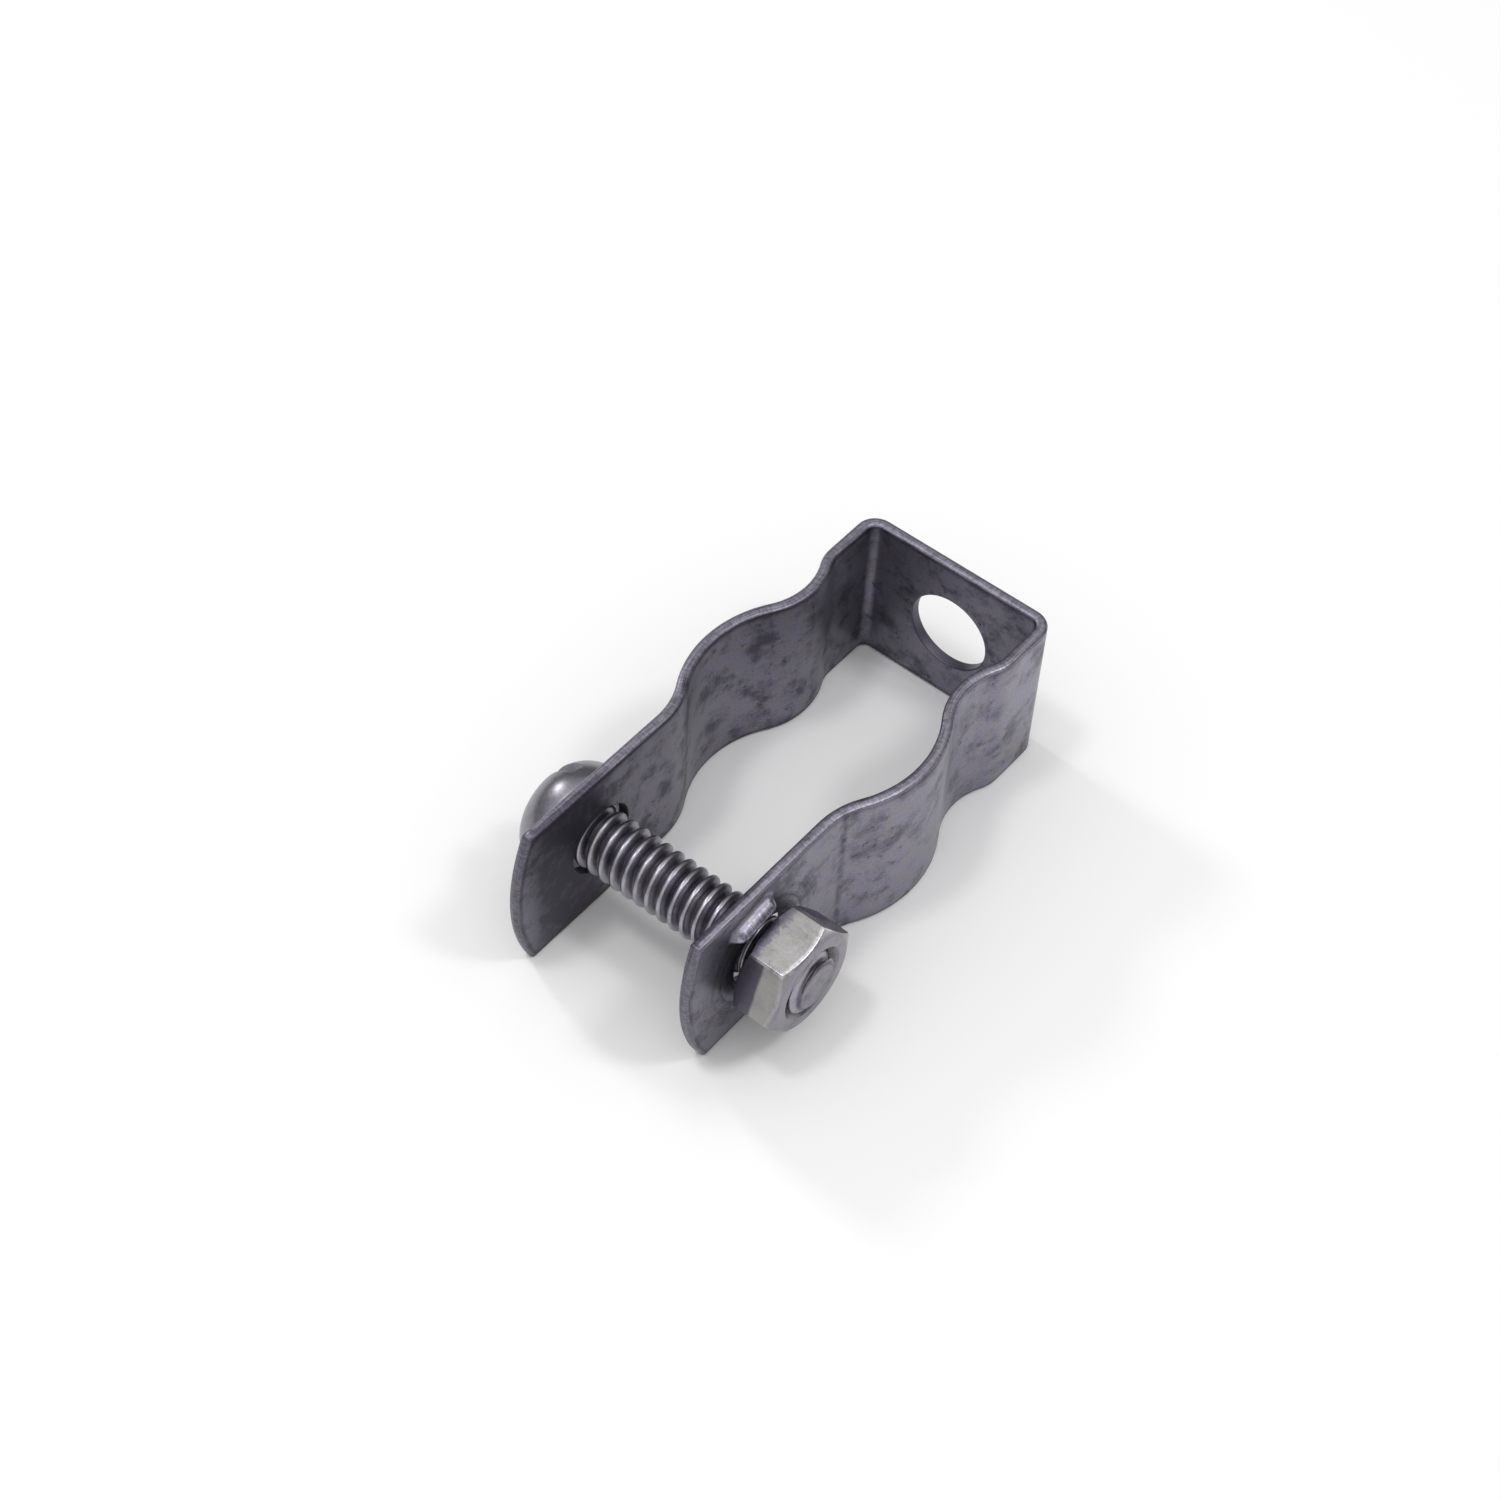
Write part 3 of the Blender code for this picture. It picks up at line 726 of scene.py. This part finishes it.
def zinc_surface():
    """Colour, roughness and relief of plain zinc plating that has dulled and stained, and of the
    shade that the materials paint in.

    Place is where the patterns are read, and Lines is the same, stretched for the brush lines.
    """
    existing = bpy.data.node_groups.get("zinc_surface")
    if existing:
        return existing
    tree, given, result = new_group(
        "zinc_surface",
        "ShaderNodeTree",
        (
            ("Place", "NodeSocketVector"), ("Lines", "NodeSocketVector"),
            ("Base", "NodeSocketColor"), ("Stain", "NodeSocketColor"),
            ("Stained", "NodeSocketFloat"), ("Shade and Grime", "NodeSocketFloat"),
            ("Brushed", "NodeSocketFloat"), ("Roughness", "NodeSocketFloat"),
            ("Tinted", "NodeSocketFloat"), ("Grain", "NodeSocketFloat"),
        ),
        (
            ("Color", "NodeSocketColor"), ("Roughness", "NodeSocketFloat"),
            ("Height", "NodeSocketFloat"),
        ),
    )
    nodes = Nodes(tree)
    maths = nodes.maths
    place = given["Place"]
    clouds = nodes.noise(place, CLOUDS, 6.0, 0.64)
    tints = nodes.noise(place, TINTS, 2.0, 0.5)
    spots = nodes.noise(place, SPOTS, 4.0, 0.6)
    grain = nodes.noise(place, GRAIN, 3.0, 0.7)
    lines = nodes.noise(given["Lines"], 1.0, 3.0, 0.6)
    clouded = nodes.ramp(clouds, 0.44, 0.70)
    spotted = maths("MULTIPLY", nodes.ramp(spots, 0.56, 0.70), nodes.ramp(clouds, 0.38, 0.6))
    stains_and_shade = maths("MULTIPLY_ADD", spotted, 0.7, maths("MULTIPLY", clouded, 0.75))
    # The Shade and Grime input adds each material's painted shade, with some grime, to the stains.
    stains_and_shade = maths("MULTIPLY_ADD", stains_and_shade, given["Stained"], given["Shade and Grime"])
    stains_and_shade = maths("MINIMUM", stains_and_shade, 1.0)
    warm = nodes.vector("MULTIPLY", given["Base"], (1.03, 1.03, 0.90))
    tinted = maths("MULTIPLY", nodes.ramp(tints, 0.42, 0.62), given["Tinted"])
    tinted = nodes.mixed(tinted, given["Base"], warm)
    stained_and_shaded = nodes.mixed(stains_and_shade, tinted, given["Stain"])
    streak = maths("MULTIPLY_ADD", maths("SUBTRACT", lines, 0.5), given["Brushed"], 1.0)
    grain = maths("MULTIPLY", maths("SUBTRACT", grain, 0.5), given["Grain"])
    speckle = maths("MULTIPLY", maths("ADD", grain, 1.0), streak)
    coloured = nodes.add(
        "ShaderNodeVectorMath", stained_and_shaded, operation="SCALE", named={"Scale": speckle}
    )
    nodes.feed(result["Color"], coloured.outputs[0])
    rough = maths("MULTIPLY_ADD", stains_and_shade, 0.10, given["Roughness"])
    nodes.feed(result["Roughness"], maths("MULTIPLY_ADD", grain, 0.2, rough))
    brushing = maths("MULTIPLY", lines, given["Brushed"])
    nodes.feed(result["Height"], maths("MULTIPLY_ADD", grain, 0.5, brushing))
    return tree


def zinc(name, base, roughness, relief, lines=(1.0, 1.0, 1.0), brushed=0.2, soiled=1.0):
    """Zinc whose patterns follow the object, with brush lines scaled by the vector lines.

    A lower value of soiled makes its stains, tints and grain fainter.
    """
    colours = bpy.context.scene.clamp_colours
    material = bpy.data.materials.new(f"zinc_{name}")
    material.use_nodes = True
    tree = material.node_tree
    nodes = Nodes(tree)
    shader = tree.nodes["Principled BSDF"]
    place = nodes.object_place()
    stretched = nodes.vector("MULTIPLY", place, lines)
    surface = nodes.add("ShaderNodeGroup", node_tree=zinc_surface())
    for key, value in (
        ("Place", place), ("Lines", stretched), ("Base", (*base, 1.0)),
        ("Stain", (*colours.stain, 1.0)), ("Stained", soiled), ("Shade and Grime", 0.0),
        ("Brushed", brushed), ("Roughness", roughness), ("Tinted", soiled),
        ("Grain", soiled),
    ):
        nodes.feed(surface.inputs[key], value)
    bump = nodes.add(
        "ShaderNodeBump",
        named={"Strength": relief, "Distance": 0.01 * MM, "Height": surface.outputs["Height"]},
    )
    nodes.feed(shader.inputs["Base Color"], surface.outputs["Color"])
    nodes.feed(shader.inputs["Roughness"], surface.outputs["Roughness"])
    nodes.feed(shader.inputs["Normal"], bump.outputs[0])
    shader.inputs["Metallic"].default_value = 1.0
    return material, nodes, surface


def strap_lines(nodes, along, across, side, on_cut, on_rib):
    """Where brush lines are read: along the faces, across the cut edges and across the ribs."""
    maths = nodes.maths
    streaks = nodes.add(
        "ShaderNodeCombineXYZ",
        maths("MULTIPLY", along, maths("MULTIPLY_ADD", on_cut, FINE_LINES, LONG_LINES)),
        maths("MULTIPLY", across, FINE_LINES),
        maths("MULTIPLY", side, 1.4),
    ).outputs[0]
    rib_lines = nodes.add(
        "ShaderNodeCombineXYZ", maths("MULTIPLY", along, FINE_LINES),
        maths("MULTIPLY", across, RIB_LINES),
    ).outputs[0]
    return nodes.add(
        "ShaderNodeMix", data_type="VECTOR", named={"Factor": on_rib, 4: streaks, 5: rib_lines}
    ).outputs[1]


def strap_base(nodes, size, along, side, on_cut, on_rib, bend):
    """Clean zinc with painted highlights along the middle of the cut edges and on the ribs, and
    darker at the ears' cut ends.
    """
    maths = nodes.maths
    zinc_colour = bpy.context.scene.clamp_colours.strap
    # The brighter copies of the zinc are painted highlights on the cut edges and the ribs; the
    # darker one is for the ears' cut ends.
    plain, bright, darkened, rib_highlight = (
        (*(min(factor * value, 1.0) for value in zinc_colour), 1.0)
        for factor in (1.0, 1.3, 0.62, 1.2)
    )
    # Painted highlight along the middle of the cut edges.
    edge_highlight = nodes.ramp(maths("MULTIPLY", side, maths("SUBTRACT", 1.0, side)), 0.16, 0.25)
    base = nodes.mixed(edge_highlight, plain, bright)
    base_y = STRAP_HIGH[1] - size.thickness
    corners = bend.ear_start + bend.ear_y + base_y - STRAP_LOW[1] - size.ear_bulge
    corners = corners - size.shortfall
    ear_end = nodes.ramp(maths("ABSOLUTE", along), corners, corners + 0.25 * MM)
    base = nodes.mixed(maths("MULTIPLY", ear_end, on_cut), base, darkened)
    # Painted highlight on the ribs.
    return nodes.mixed(on_rib, base, rib_highlight)


def strap_shade_and_grime(nodes, size, place, along, side, from_edge, on_cut, bend):
    """Painted shade below the cut edges, in and round the ears' holes and on the inner faces,
    darker bands at the bends, and dark arcs round the holes.
    """
    maths = nodes.maths
    # Painted shade on the faces just below the cut edges.
    shade_below_edge = nodes.ramp(from_edge, size.edge_rounding + 0.35 * MM, size.edge_rounding)
    shade_and_grime = maths("MULTIPLY", shade_below_edge, maths("SUBTRACT", 1.0, on_cut))
    shade_and_grime = maths("MULTIPLY", shade_and_grime, 0.45)
    patchy = nodes.ramp(nodes.noise(place, PATCHES, 4.0, 0.65), 0.34, 0.66)
    outside = nodes.ramp(side, 0.4, 0.6)
    inside = maths("SUBTRACT", 1.0, outside)
    seat_start, neck_start, ear_start = (start for start, *_ in bend.starts[5:])
    # Darker patchy bands across the bends.
    for mark, half_width, strength, face in (
        ((neck_start + ear_start) / 2, 0.55 * MM, 0.75, outside),
        (seat_start, 0.5 * MM, 0.3, outside),
        (neck_start, 0.8 * MM, 0.75, inside),
    ):
        from_bend = maths("ABSOLUTE", maths("SUBTRACT", maths("ABSOLUTE", along), mark))
        bend_band = maths("MULTIPLY", nodes.ramp(from_bend, half_width, 0.0), face)
        bend_band = maths("MULTIPLY", bend_band, maths("MULTIPLY_ADD", patchy, 0.7, 0.3))
        shade_and_grime = maths("MULTIPLY_ADD", bend_band, strength, shade_and_grime)

    _, radial, from_screw = nodes.from_axis(0.0)
    hole = size.ear_hole / 2
    # Painted shade on the walls of the ears' holes.
    shade_and_grime = maths("ADD", shade_and_grime, nodes.ramp(radial, hole + 0.12 * MM, hole - 0.02 * MM))
    along_ear = nodes.add("ShaderNodeSeparateXYZ", from_screw).outputs[1]
    # Painted shade on all inner faces, deepest on the ears between the screw and their tips.
    shaded = maths(
        "MULTIPLY", nodes.ramp(along_ear, 1.8 * MM, -1.0 * MM),
        nodes.ramp(along_ear, -8.0 * MM, -5.6 * MM),
    )
    shaded = maths("MULTIPLY", shaded, maths("MULTIPLY_ADD", patchy, 0.3, 0.6))
    shade_and_grime = maths("MULTIPLY_ADD", maths("MULTIPLY_ADD", shaded, 0.8, 0.3), inside, shade_and_grime)
    # Dark arcs round the holes on the outer faces: partly scratch marks, partly painted shade
    # beside the head and the nut.
    rings = nodes.add("ShaderNodeCombineXYZ", radial).outputs[0]
    rings = nodes.ramp(nodes.noise(rings, RINGS, 2.0, 0.5), 0.42, 0.6)
    rings = maths("MULTIPLY", rings, nodes.ramp(radial, hole + 4.5 * MM, hole + 1.0 * MM))
    rings = maths("MULTIPLY", rings, outside)
    shade_and_grime = maths("MULTIPLY_ADD", rings, 0.6, shade_and_grime)
    # Painted shade round the holes, where the head and the nut sit close.
    shade_round_hole = maths("MULTIPLY", nodes.ramp(radial, hole + 1.4 * MM, hole), 0.35)
    return maths("MULTIPLY_ADD", shade_round_hole, patchy, shade_and_grime)


def strap_zinc(size):
    """The strap's zinc, whose patterns follow the bent strip through its UV maps."""
    roughness = 0.38
    strap_colour = bpy.context.scene.clamp_colours.strap
    material, nodes, surface = zinc("strap", strap_colour, roughness, 0.35)
    maths = nodes.maths
    along, across, _ = nodes.uv("plan")
    from_edge, side, _ = nodes.uv("edge")
    on_cut = nodes.ramp(maths("MULTIPLY", side, maths("SUBTRACT", 1.0, side)), 0.0, 0.04)
    on_rib = nodes.ramp(nodes.uv("relief")[0], 0.1, 0.5)
    bend = Bend(bend_line(size))
    between_faces = maths("MULTIPLY", side, 40 * MM)
    place = nodes.add("ShaderNodeCombineXYZ", along, across, between_faces).outputs[0]
    brushed = maths("MULTIPLY_ADD", on_rib, 2.6, maths("MULTIPLY_ADD", on_cut, 1.5, 0.2))
    for key, value in (
        ("Place", place),
        ("Lines", strap_lines(nodes, along, across, side, on_cut, on_rib)),
        ("Brushed", brushed),
        ("Roughness", maths("MULTIPLY_ADD", on_rib, -0.13, roughness)),
        ("Base", strap_base(nodes, size, along, side, on_cut, on_rib, bend)),
        ("Shade and Grime", strap_shade_and_grime(nodes, size, place, along, side, from_edge, on_cut, bend)),
    ):
        nodes.feed(surface.inputs[key], value)
    return material


# Screw and nut


def screw_zinc(size):
    """The screw's zinc, with painted shade in the roots of its thread and on its head, and a darker
    end face.
    """
    screw_colour = bpy.context.scene.clamp_colours.screw
    material, nodes, surface = zinc(
        "screw", screw_colour, 0.32, 0.12, lines=(3000.0, 3000.0, 3000.0), brushed=0.06,
        soiled=0.5,
    )
    maths = nodes.maths
    seat = SCREW_LOW[0] + size.head_height
    tip = SCREW_HIGH[0] - seat
    along, radial, _ = nodes.from_axis(seat)
    crest = size.diameter / 2
    # Painted shade in the roots of the thread.
    root_shade = nodes.ramp(radial, crest - 0.25 * MM, crest - 0.85 * size.thread_depth)
    root_shade = maths("MULTIPLY", root_shade, nodes.ramp(along, 0.0, 0.2 * MM))
    root_shade = maths("MULTIPLY", root_shade, nodes.ramp(along, tip - 0.01 * MM, tip - 0.1 * MM))
    end = maths("MULTIPLY", nodes.ramp(along, tip - 0.1 * MM, tip - 0.01 * MM), 0.35)
    nodes.feed(surface.inputs["Shade and Grime"], maths("MULTIPLY_ADD", root_shade, 0.75, end))
    # Painted shade on the head: a darker copy of the screw's zinc.
    on_head = nodes.ramp(along, 0.1 * MM, -0.1 * MM)
    darkened = (*(0.7 * value for value in screw_colour), 1.0)
    base = nodes.mixed(on_head, (*screw_colour, 1.0), darkened)
    nodes.feed(surface.inputs["Base"], base)
    return material


def nut_zinc(size):
    """The nut's zinc: painted highlights with nicks along the flats' front edges, a painted
    reflection of the ear behind, and painted shade on the lower flats, the violet front face and
    the countersinks.
    """
    colours = bpy.context.scene.clamp_colours
    material, nodes, surface = zinc(
        "nut", colours.nut, 0.24, 0.2, lines=(500.0, 6500.0, 6500.0), soiled=0.4
    )
    maths = nodes.maths
    along, radial, vector = nodes.from_axis(NUT_LOW[0])
    thickness = NUT_HIGH[0] - NUT_LOW[0]
    reach = 0.0
    for turn in range(3):
        angle = size.angle + math.pi / 6 + turn * math.pi / 3
        outwards = (0.0, math.cos(angle), math.sin(angle))
        towards = nodes.vector("DOT_PRODUCT", vector, outwards, output=1)
        reach = maths("MAXIMUM", maths("ABSOLUTE", towards), reach)
    half = size.across_flats / 2
    on_flat = nodes.ramp(reach, half - 0.12 * MM, half - 0.02 * MM)
    past_face = maths("SUBTRACT", radial, size.face_share * half)
    cone = maths("MULTIPLY_ADD", past_face, -math.tan(size.chamfer), thickness)
    behind_cone = maths("SUBTRACT", cone, along)
    height = nodes.add("ShaderNodeSeparateXYZ", vector).outputs[2]
    on_sides = nodes.ramp(height, 0.87 * half, 0.82 * half)
    on_face = nodes.ramp(along, thickness - 0.3 * MM, thickness - 0.06 * MM)

    place = nodes.object_place()
    nicks = nodes.ramp(nodes.noise(place, NICKS, 2.0, 0.5), 0.28, 0.5)
    # Painted highlight along the front edges of the flats, broken by nicks and faint on the lower
    # flats.
    edge_highlight = maths("MULTIPLY", nodes.ramp(behind_cone, 0.34 * MM, 0.12 * MM), nicks)
    edge_highlight = maths("MULTIPLY", edge_highlight, on_flat)
    edge_highlight = maths("MULTIPLY", edge_highlight, maths("MULTIPLY_ADD", on_sides, -0.85, 1.0))
    # Painted reflection of the ear: darker violet on the flats next to it, with a ragged edge.
    ragged = maths("MULTIPLY_ADD", nodes.noise(place, RAGS, 3.0, 0.6), 1.6 * MM, along)
    rear_reflection = maths("MULTIPLY", nodes.ramp(ragged, 2.0 * MM, 1.5 * MM), on_flat)
    base = (*colours.nut, 1.0)
    # Painted shade on the lower flats and on the violet front face; the rear and edge zones are the
    # painted reflection and highlight.
    for where, zone in (
        (rear_reflection, colours.nut_rear_reflection), (on_sides, colours.nut_shaded_sides), (on_face, colours.nut_face_shaded),
        (edge_highlight, colours.nut_edge_highlight),
    ):
        base = nodes.mixed(where, base, (*zone, 1.0))
    nodes.feed(surface.inputs["Base"], base)

    # Painted reflection of the ear: a dark band on the lower flats next to it.
    ear_reflection_band = maths("MULTIPLY", nodes.ramp(along, 1.9 * MM, 1.6 * MM), on_sides)
    sink = size.countersink / 2
    # Painted shade in the countersinks.
    bore_shade = nodes.ramp(radial, sink + 0.02 * MM, sink - 0.35 * MM)
    shade_and_grime = maths("MULTIPLY_ADD", bore_shade, 0.65, maths("MULTIPLY", ear_reflection_band, 0.95))
    nodes.feed(surface.inputs["Shade and Grime"], shade_and_grime)
    return material


class CLAMP_OT_screw(bpy.types.Operator):
    """Build the slotted round-head screw with its thread"""

    bl_idname = "clamp.screw"
    bl_label = "Build screw"

    def execute(self, context):
        scene = context.scene
        size = scene.clamp_screw
        material = screw_zinc(size)
        seat = Matrix.Translation((SCREW_LOW[0] + size.head_height, *SCREW_AXIS[1:]))
        screw_length = SCREW_HIGH[0] - SCREW_LOW[0] - size.head_height
        inside_head = 0.3 * MM
        screw = threaded_rod("clamp_screw", seat, {
            "Start": -inside_head, "End": screw_length, "Pitch": size.pitch,
            "Depth": size.thread_depth, "Fullness": size.thread_fullness,
            "Crest Radius": size.diameter / 2, "Point Radius": size.point_diameter / 2,
            "Point Slope": (size.diameter - size.point_diameter) / 2 / size.point_length,
            "Sides": size.sides, "Samples": TURN_SAMPLES, "Material": material,
        })
        profile = [(0.0, 0.0)]
        for ring in range(DOME_RINGS + 1):
            angle = math.pi / 2 * ring / DOME_RINGS
            height = size.head_height * math.sin(angle) ** (2 / size.head_fullness)
            radius = size.head_diameter / 2 * math.cos(angle) ** (2 / size.head_fullness)
            profile.append((-height, radius if ring < DOME_RINGS else 0.0))
        head = turned("screw_head", profile, ROUND_SIDES, seat)
        depth = size.slot_depth + SPARE
        across_head = 12 * MM
        slot = mesh_object("screw_slot", *box_shape(depth, across_head, size.slot_width))
        slot.data.transform(
            seat
            @ Matrix.Translation((-size.head_height + size.slot_depth - depth / 2, 0.0, 0.0))
            @ Matrix.Rotation(size.slot_angle, 4, "X")
        )
        boolean(head, slot, "DIFFERENCE")
        wear(head, size.edge_wear, 2)
        freeze(head, [slot])
        boolean(screw, head, "UNION")
        freeze(screw, [head])
        finish_piece(screw, "screw", material, sharp=42)
        return {"FINISHED"}


def box_shape(x, y, z):
    """Vertices and faces of a box about the origin."""
    ends = (-0.5, 0.5)
    vertices = [(x * a, y * b, z * c) for a in ends for b in ends for c in ends]
    faces = [(0, 1, 3, 2), (4, 6, 7, 5), (0, 4, 5, 1), (2, 3, 7, 6), (0, 2, 6, 4), (1, 5, 7, 3)]
    return vertices, faces


class CLAMP_OT_nut(bpy.types.Operator):
    """Build the hex nut, tapped with the screw's own thread"""

    bl_idname = "clamp.nut"
    bl_label = "Build nut"

    def execute(self, context):
        scene = context.scene
        size = scene.clamp_nut
        screw = scene.clamp_screw
        thickness = NUT_HIGH[0] - NUT_LOW[0]
        back = Matrix.Translation((NUT_LOW[0], *SCREW_AXIS[1:]))
        corner_radius = size.across_flats / ROOT_THREE
        vertices = []
        for x in (0.0, thickness):
            for corner in range(6):
                angle = size.angle + math.tau * corner / 6
                vertices.append(
                    (x, corner_radius * math.cos(angle), corner_radius * math.sin(angle))
                )
        faces = [tuple(range(6)), tuple(range(11, 5, -1))]
        faces += [(side, (side + 1) % 6, 6 + (side + 1) % 6, 6 + side) for side in range(6)]
        nut = mesh_object("clamp_nut", vertices, faces)
        nut.data.transform(back)

        past = SPARE / 2
        narrow = size.face_share * size.across_flats / 2 - past / math.tan(size.chamfer)
        wide = corner_radius + SPARE
        slope = (wide - narrow) * math.tan(size.chamfer) - past
        chamfers = turned(
            "nut_chamfers",
            (
                (-past, 0.0), (-past, narrow), (slope, wide), (thickness - slope, wide),
                (thickness + past, narrow), (thickness + past, 0.0),
            ),
            CHAMFER_SIDES,
            back,
        )
        boolean(nut, chamfers, "INTERSECT")
        wear(nut, size.edge_wear, 3)
        freeze(nut, [chamfers])

        head_seat = SCREW_LOW[0] + screw.head_height
        from_head = NUT_LOW[0] - head_seat
        no_point = 1.0
        tap = threaded_rod("nut_tap", Matrix.Translation((head_seat, *SCREW_AXIS[1:])), {
            "Start": from_head - SPARE, "End": from_head + thickness + SPARE,
            "Pitch": screw.pitch, "Depth": screw.thread_depth,
            "Fullness": screw.thread_fullness, "Point Radius": no_point,
            "Crest Radius": screw.diameter / 2 + size.thread_clearance,
            "Sides": screw.sides, "Samples": TURN_SAMPLES,
        })
        sink = size.countersink / 2 + SPARE
        narrow = screw.diameter / 4
        depth = size.countersink / 2 - narrow
        countersinks = turned(
            "nut_countersinks",
            (
                (-SPARE, 0.0), (-SPARE, sink), (depth, narrow), (thickness - depth, narrow),
                (thickness + SPARE, sink), (thickness + SPARE, 0.0),
            ),
            ROUND_SIDES,
            back,
        )
        boolean(nut, tap, "DIFFERENCE")
        boolean(nut, countersinks, "DIFFERENCE")
        freeze(nut, [tap, countersinks])
        finish_piece(nut, "nut", nut_zinc(size))
        return {"FINISHED"}


# Stage


class CLAMP_OT_stage(bpy.types.Operator):
    """Build the floor, the lights and the camera"""

    bl_idname = "clamp.stage"
    bl_label = "Build stage"

    def execute(self, context):
        scene = context.scene
        half = FLOOR_HALF
        corners = [(-half, -half, 0), (half, -half, 0), (half, half, 0), (-half, half, 0)]
        floor = mesh_object("stage_floor", corners, [(0, 1, 2, 3)])
        material = bpy.data.materials.new("stage_floor")
        material.use_nodes = True
        shader = material.node_tree.nodes["Principled BSDF"]
        shader.inputs["Base Color"].default_value = (*scene.clamp_colours.floor, 1.0)
        shader.inputs["Roughness"].default_value = 1.0
        shader.inputs["Specular IOR Level"].default_value = 0.0
        floor.data.materials.append(material)

        world = scene.world or bpy.data.worlds.new("stage_world")
        scene.world = world
        world.use_nodes = True
        nodes = Nodes(world.node_tree)
        background = world.node_tree.nodes["Background"]
        direction = nodes.add("ShaderNodeTexCoord").outputs["Generated"]
        towards = nodes.vector("DOT_PRODUCT", direction, BRIGHT_SKY, output=1)
        sky = nodes.add(
            "ShaderNodeMapRange", towards, 0.0, 0.95, *SKY_STRENGTHS,
            interpolation_type="SMOOTHSTEP",
        ).outputs[0]
        nodes.feed(background.inputs["Color"], (1.0, 1.0, 1.0, 1.0))
        nodes.feed(background.inputs["Strength"], sky)

        for name, direction, wide, radiance in LAMPS:
            lamp = bpy.data.lights.new(name, "AREA")
            lamp.shape = "DISK"
            lamp.size = wide
            lamp.energy = radiance * math.pi * math.pi * wide**2 / 4
            obj = bpy.data.objects.new(name, lamp)
            obj.location = LAMP_DISTANCE * Vector(direction).normalized()
            obj.rotation_euler = (-obj.location).to_track_quat("-Z", "Y").to_euler()
            scene.collection.objects.link(obj)

        lens = bpy.data.cameras.new("stage_camera")
        lens.lens = CAMERA_LENS
        lens.sensor_width = 36.0
        lens.clip_start = 0.01
        camera = bpy.data.objects.new("stage_camera", lens)
        camera.location = CAMERA_PLACE
        camera.rotation_euler = [math.radians(turn) for turn in CAMERA_TURNS]
        scene.collection.objects.link(camera)
        scene.camera = camera
        scene.view_settings.view_transform = "Standard"
        return {"FINISHED"}


SETTINGS = (
    ("clamp_strap", "Strap", ClampStrapSizes),
    ("clamp_ribs", "Ribs", ClampRibSizes),
    ("clamp_screw", "Screw", ClampScrewSizes),
    ("clamp_nut", "Nut", ClampNutSizes),
    ("clamp_colours", "Colours", ClampColours),
)
OPERATORS = (CLAMP_OT_strap, CLAMP_OT_screw, CLAMP_OT_nut, CLAMP_OT_stage)


class CLAMP_PT_sidebar(bpy.types.Panel):
    bl_idname = "CLAMP_PT_sidebar"
    bl_label = "Conduit clamp"
    bl_space_type = "VIEW_3D"
    bl_region_type = "UI"
    bl_category = "Clamp"

    def draw(self, context):
        for attribute, title, group in SETTINGS:
            box = self.layout.box()
            box.label(text=title)
            for name in group.__annotations__:
                box.prop(getattr(context.scene, attribute), name)
        for operator in OPERATORS:
            self.layout.operator(operator.bl_idname)


CLASSES = (*(group for _, _, group in SETTINGS), *OPERATORS, CLAMP_PT_sidebar)


def register():
    for cls in CLASSES:
        bpy.utils.register_class(cls)
    for attribute, _, group in SETTINGS:
        setattr(bpy.types.Scene, attribute, PointerProperty(type=group))


def unregister():
    for attribute, _, _ in SETTINGS:
        delattr(bpy.types.Scene, attribute)
    for cls in reversed(CLASSES):
        bpy.utils.unregister_class(cls)


def main():
    register()
    bpy.ops.clamp.strap()
    bpy.ops.clamp.screw()
    bpy.ops.clamp.nut()
    bpy.ops.clamp.stage()


if __name__ == "__main__":
    main()
